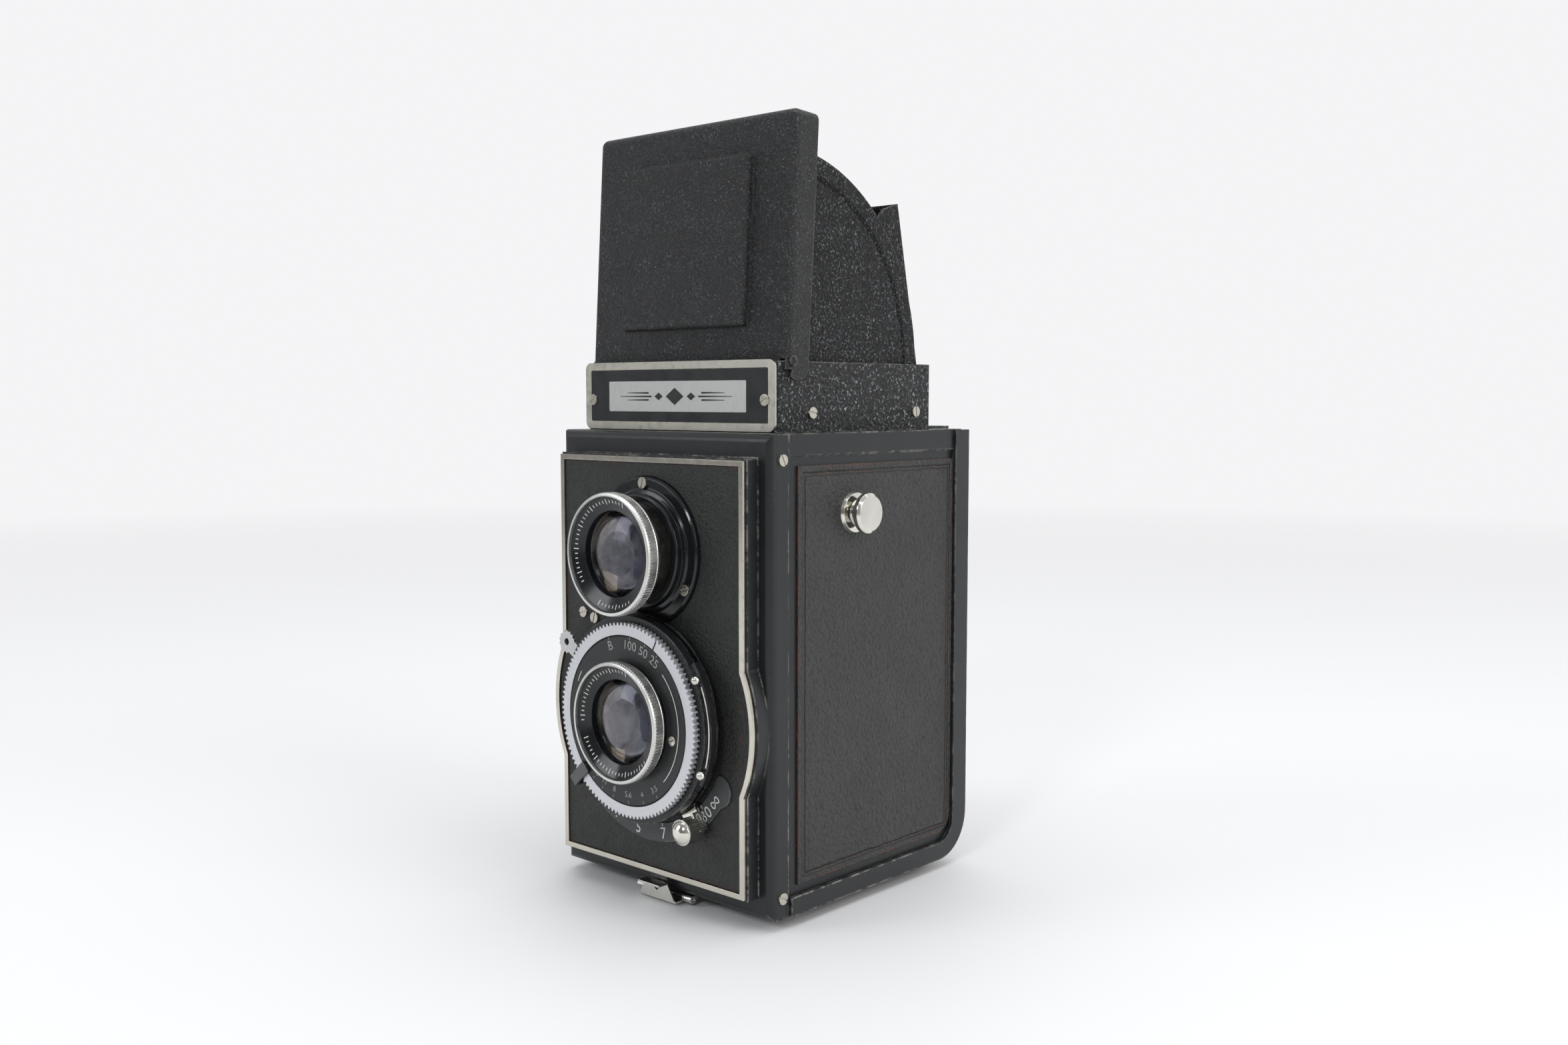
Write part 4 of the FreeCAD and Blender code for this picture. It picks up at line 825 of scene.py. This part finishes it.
def ornament():
    """A plain lozenge between two smaller ones, with three tapering lines on each side."""
    middle = (CENTRE_LOW + CENTRE_HIGH) / 2
    y = PLATE_LOW.y - 0.01
    thick, thin = 0.24, 0.07
    points, faces = [], []

    def polygon(outline):
        start = len(points)
        points.extend((x, y, middle + z) for x, z in outline)
        faces.append(tuple(range(start, start + len(outline))))

    def lozenge(x, half_width, half_height):
        polygon([(x - half_width, 0), (x, half_height), (x + half_width, 0), (x, -half_height)])

    lozenge(0, 3.4, 2.3)
    for side in (-1, 1):
        lozenge(side * 6.2, 1.6, 1.05)
        for z, length in ((0, 12.5), (0.95, 8.5), (-0.95, 8.5)):
            near = side * (9.0 + abs(z) * 1.2)
            far = near + side * length
            polygon([(near, z + thick), (far, z + thin), (far, z - thin), (near, z - thick)])
    piece("nameplate_ornament", points, faces, "camera_body", black_mark, smooth=False)


# ---- small metal pieces ------------------------------------------------------------------


def slotted_screw(name, place, radius, height, turn, body):
    """A domed screw head with a slot, facing forward."""
    steps, slot_width, slot_proud = 32, 0.26, 0.03
    rings = (
        (0.0, radius),
        (-0.55 * height, radius),
        (-0.85 * height, 0.8 * radius),
        (-height, 0.5 * radius),
    )
    n = len(rings)
    points = [circle_point(place, place.y + y, r, a) for a in turns(steps) for y, r in rings]
    faces = []
    for i in range(steps):
        here, beyond = i * n, (i + 1) % steps * n
        faces += [(here + k, here + k + 1, beyond + k + 1, beyond + k) for k in range(n - 1)]
    faces.append(tuple(i * n for i in range(steps)))
    faces.append(tuple(i * n + n - 1 for i in reversed(range(steps))))
    piece(name, points, faces, body, screw_plate)

    along = Vector((math.cos(turn), 0, math.sin(turn))) * 0.82 * radius
    across = Vector((-math.sin(turn), 0, math.cos(turn))) * slot_width / 2
    bar = []
    for u, v in ((-1, -1), (1, -1), (1, 1), (-1, 1)):
        corner = place + along * u + across * v
        bar.append((corner.x, corner.z))
    front = place.y - height - slot_proud
    slab(name + "_slot", bar, front, place.y - 0.5 * height, body, black_mark, bevel=0.02)


def release_lever():
    """Release lever: a flat arm and a serrated finger lobe with a hole."""
    low, high = box_mm("release_lever")
    angle = math.radians(147)
    reach, lobe_radius, hole_radius = 32.2, 3.2, 0.95
    steps, teeth, tooth_depth = 120, 14, 0.42
    x, z = polar(TAKING, reach, angle)
    lobe = Vector((x, 0, z))
    outer, inner = [], []
    for a in turns(steps):
        tooth = tooth_depth * (0.5 + 0.5 * math.cos(teeth * a))
        outer.append(polar(lobe, lobe_radius - tooth, a))
        inner.append(polar(lobe, hole_radius, a))
    hollow(
        "release_lever_lobe",
        outer,
        inner,
        low.y,
        high.y,
        "release_lever",
        lever_metal,
        replaces=("release_lever",),
        bevel=0.08,
    )
    along = Vector((math.cos(angle), 0, math.sin(angle)))
    across = Vector((-math.sin(angle), 0, math.cos(angle)))
    arm = []
    for r, half in ((25.0, 2.0), (29.6, 1.9), (30.6, 2.2), (30.6, -2.2), (29.6, -1.9), (25.0, -2.0)):
        corner = TAKING + along * r + across * half
        arm.append((corner.x, corner.z))
    slab(
        "release_lever_arm", arm, low.y + 0.05, high.y, "release_lever", lever_metal, 0.06
    )


def drum_edge_highlight_strip():
    """Thin bright strip round the right side of the shutter drum, between its two posts. It is a
    painted highlight made as a part: it stands in for the light on the drum's rear flange edge.
    """
    front = box_mm("shutter_housing")[0].y
    near, far = front + 0.3, front + 0.45
    inner, outer = 28.35, 28.75
    first, sweep, steps = -17, 42, 28
    section = ((far, inner), (near, inner), (near, outer), (far, outer))
    points, faces = [], []
    for i in range(steps + 1):
        angle = math.radians(first + sweep * i / steps)
        points += [circle_point(TAKING, y, r, angle) for y, r in section]
        if i:
            here = (i - 1) * 4
            for k in range(4):
                a, b = here + k, here + (k + 1) % 4
                faces.append((a, b, b + 4, a + 4))
    faces += [(3, 2, 1, 0), tuple(steps * 4 + k for k in range(4))]
    piece("drum_edge_highlight_strip", points, faces, "taking_unit", latch_plate)


lens_mount("taking_rim_knurled", TAKING, TAKING_FRONT, "taking_unit", "taking_rim")
lens_mount("viewing_rim_knurled", VIEWING, VIEWING_FRONT, "viewing_unit", "viewing_rim")
lens_inside("taking", TAKING, TAKING_FRONT, "taking_unit")
lens_inside("viewing", VIEWING, VIEWING_FRONT, "viewing_unit")
face_marks()
distance_marks()
ring_marks("viewing_ring_marks", VIEWING, VIEWING_FRONT, "viewing_unit", [(70, 215), (-110, -60)])
ring_marks("taking_ring_marks", TAKING, TAKING_FRONT, "taking_unit", [(75, 185), (205, 320)])
nameplate()
ornament()
face_screw = Vector((TAKING.x + 17.4, FACE_FRONT + 0.15, TAKING.z - 2.6))
slotted_screw("face_screw", face_screw, 1.3, 0.55, math.radians(20), "taking_unit")
release_lever()
drum_edge_highlight_strip()


# ---- surroundings, lights and camera -----------------------------------------------------


def floor():
    mesh = bpy.data.meshes.new("floor")
    made = bmesh.new()
    bmesh.ops.create_grid(made, x_segments=8, y_segments=8, size=6.0)
    made.to_mesh(mesh)
    made.free()
    mesh.materials.append(white_paper().material)
    link("floor", mesh)


def surroundings():
    """A pale room: one even tone for the camera, and light that is weaker from the front."""
    world = bpy.data.worlds.new("studio")
    bpy.context.scene.world = world
    world.use_nodes = True
    tree = world.node_tree
    tree.nodes.clear()
    add, join = tree.nodes.new, tree.links.new

    seen = add("ShaderNodeBackground")
    seen.inputs["Color"].default_value = (0.91, 0.905, 0.92, 1)
    lit = add("ShaderNodeBackground")
    lit.inputs["Color"].default_value = (0.97, 0.98, 1.0, 1)
    direction = add("ShaderNodeSeparateXYZ")
    join(add("ShaderNodeTexCoord").outputs["Generated"], direction.inputs[0])
    ramp = add("ShaderNodeMapRange")
    limits = {"From Min": -1.0, "From Max": 1.0, "To Min": 0.2, "To Max": 1.0}
    for socket, value in limits.items():
        ramp.inputs[socket].default_value = value
    join(direction.outputs["Y"], ramp.inputs["Value"])
    join(ramp.outputs["Result"], lit.inputs["Strength"])

    mix = add("ShaderNodeMixShader")
    join(add("ShaderNodeLightPath").outputs["Is Camera Ray"], mix.inputs["Fac"])
    join(lit.outputs[0], mix.inputs[1])
    join(seen.outputs[0], mix.inputs[2])
    join(mix.outputs[0], add("ShaderNodeOutputWorld").inputs["Surface"])


def lamp(name, place, aim, width, height, power, colour=(1, 1, 1)):
    """A soft rectangular light. Places and sizes are in metres, power in watts."""
    light = bpy.data.lights.new(name, "AREA")
    light.shape = "RECTANGLE"
    light.size, light.size_y = width, height
    light.energy = power
    light.color = colour
    holder = link(name, light)
    holder.location = place
    holder.rotation_euler = (Vector(aim) - Vector(place)).to_track_quat("-Z", "Y").to_euler()
    holder.visible_camera = False


def camera():
    """At the photograph's angle: from the front right, a little above the middle."""
    turn, tilt_down = 42.2, 4.89
    data = bpy.data.cameras.new("camera")
    data.sensor_width = 36.0
    data.lens = 33.64
    holder = link("camera", data)
    holder.location = (0.2839, -0.3044, 0.1354)
    holder.rotation_euler = (math.radians(90 - tilt_down), 0, math.radians(turn))
    bpy.context.scene.camera = holder


floor()
surroundings()
lamp("overhead", (0.0, 0.1, 1.7), (0, 0, 0), 1.8, 1.8, 14.2)
lamp("left_window", (-0.95, -1.35, 0.8), (0, 0, 0.1), 0.7, 0.9, 7.0, (0.95, 0.97, 1.0))
lamp("right_window", (1.35, 0.1, 0.7), (0, 0, 0.1), 0.9, 0.9, 7.5, (1.0, 0.99, 0.97))
lamp("small_window", (0.35, -1.1, 0.75), (0, 0, 0.08), 0.22, 0.3, 3, (0.9, 0.95, 1.0))
camera()
bpy.context.scene.view_settings.view_transform = "Standard"
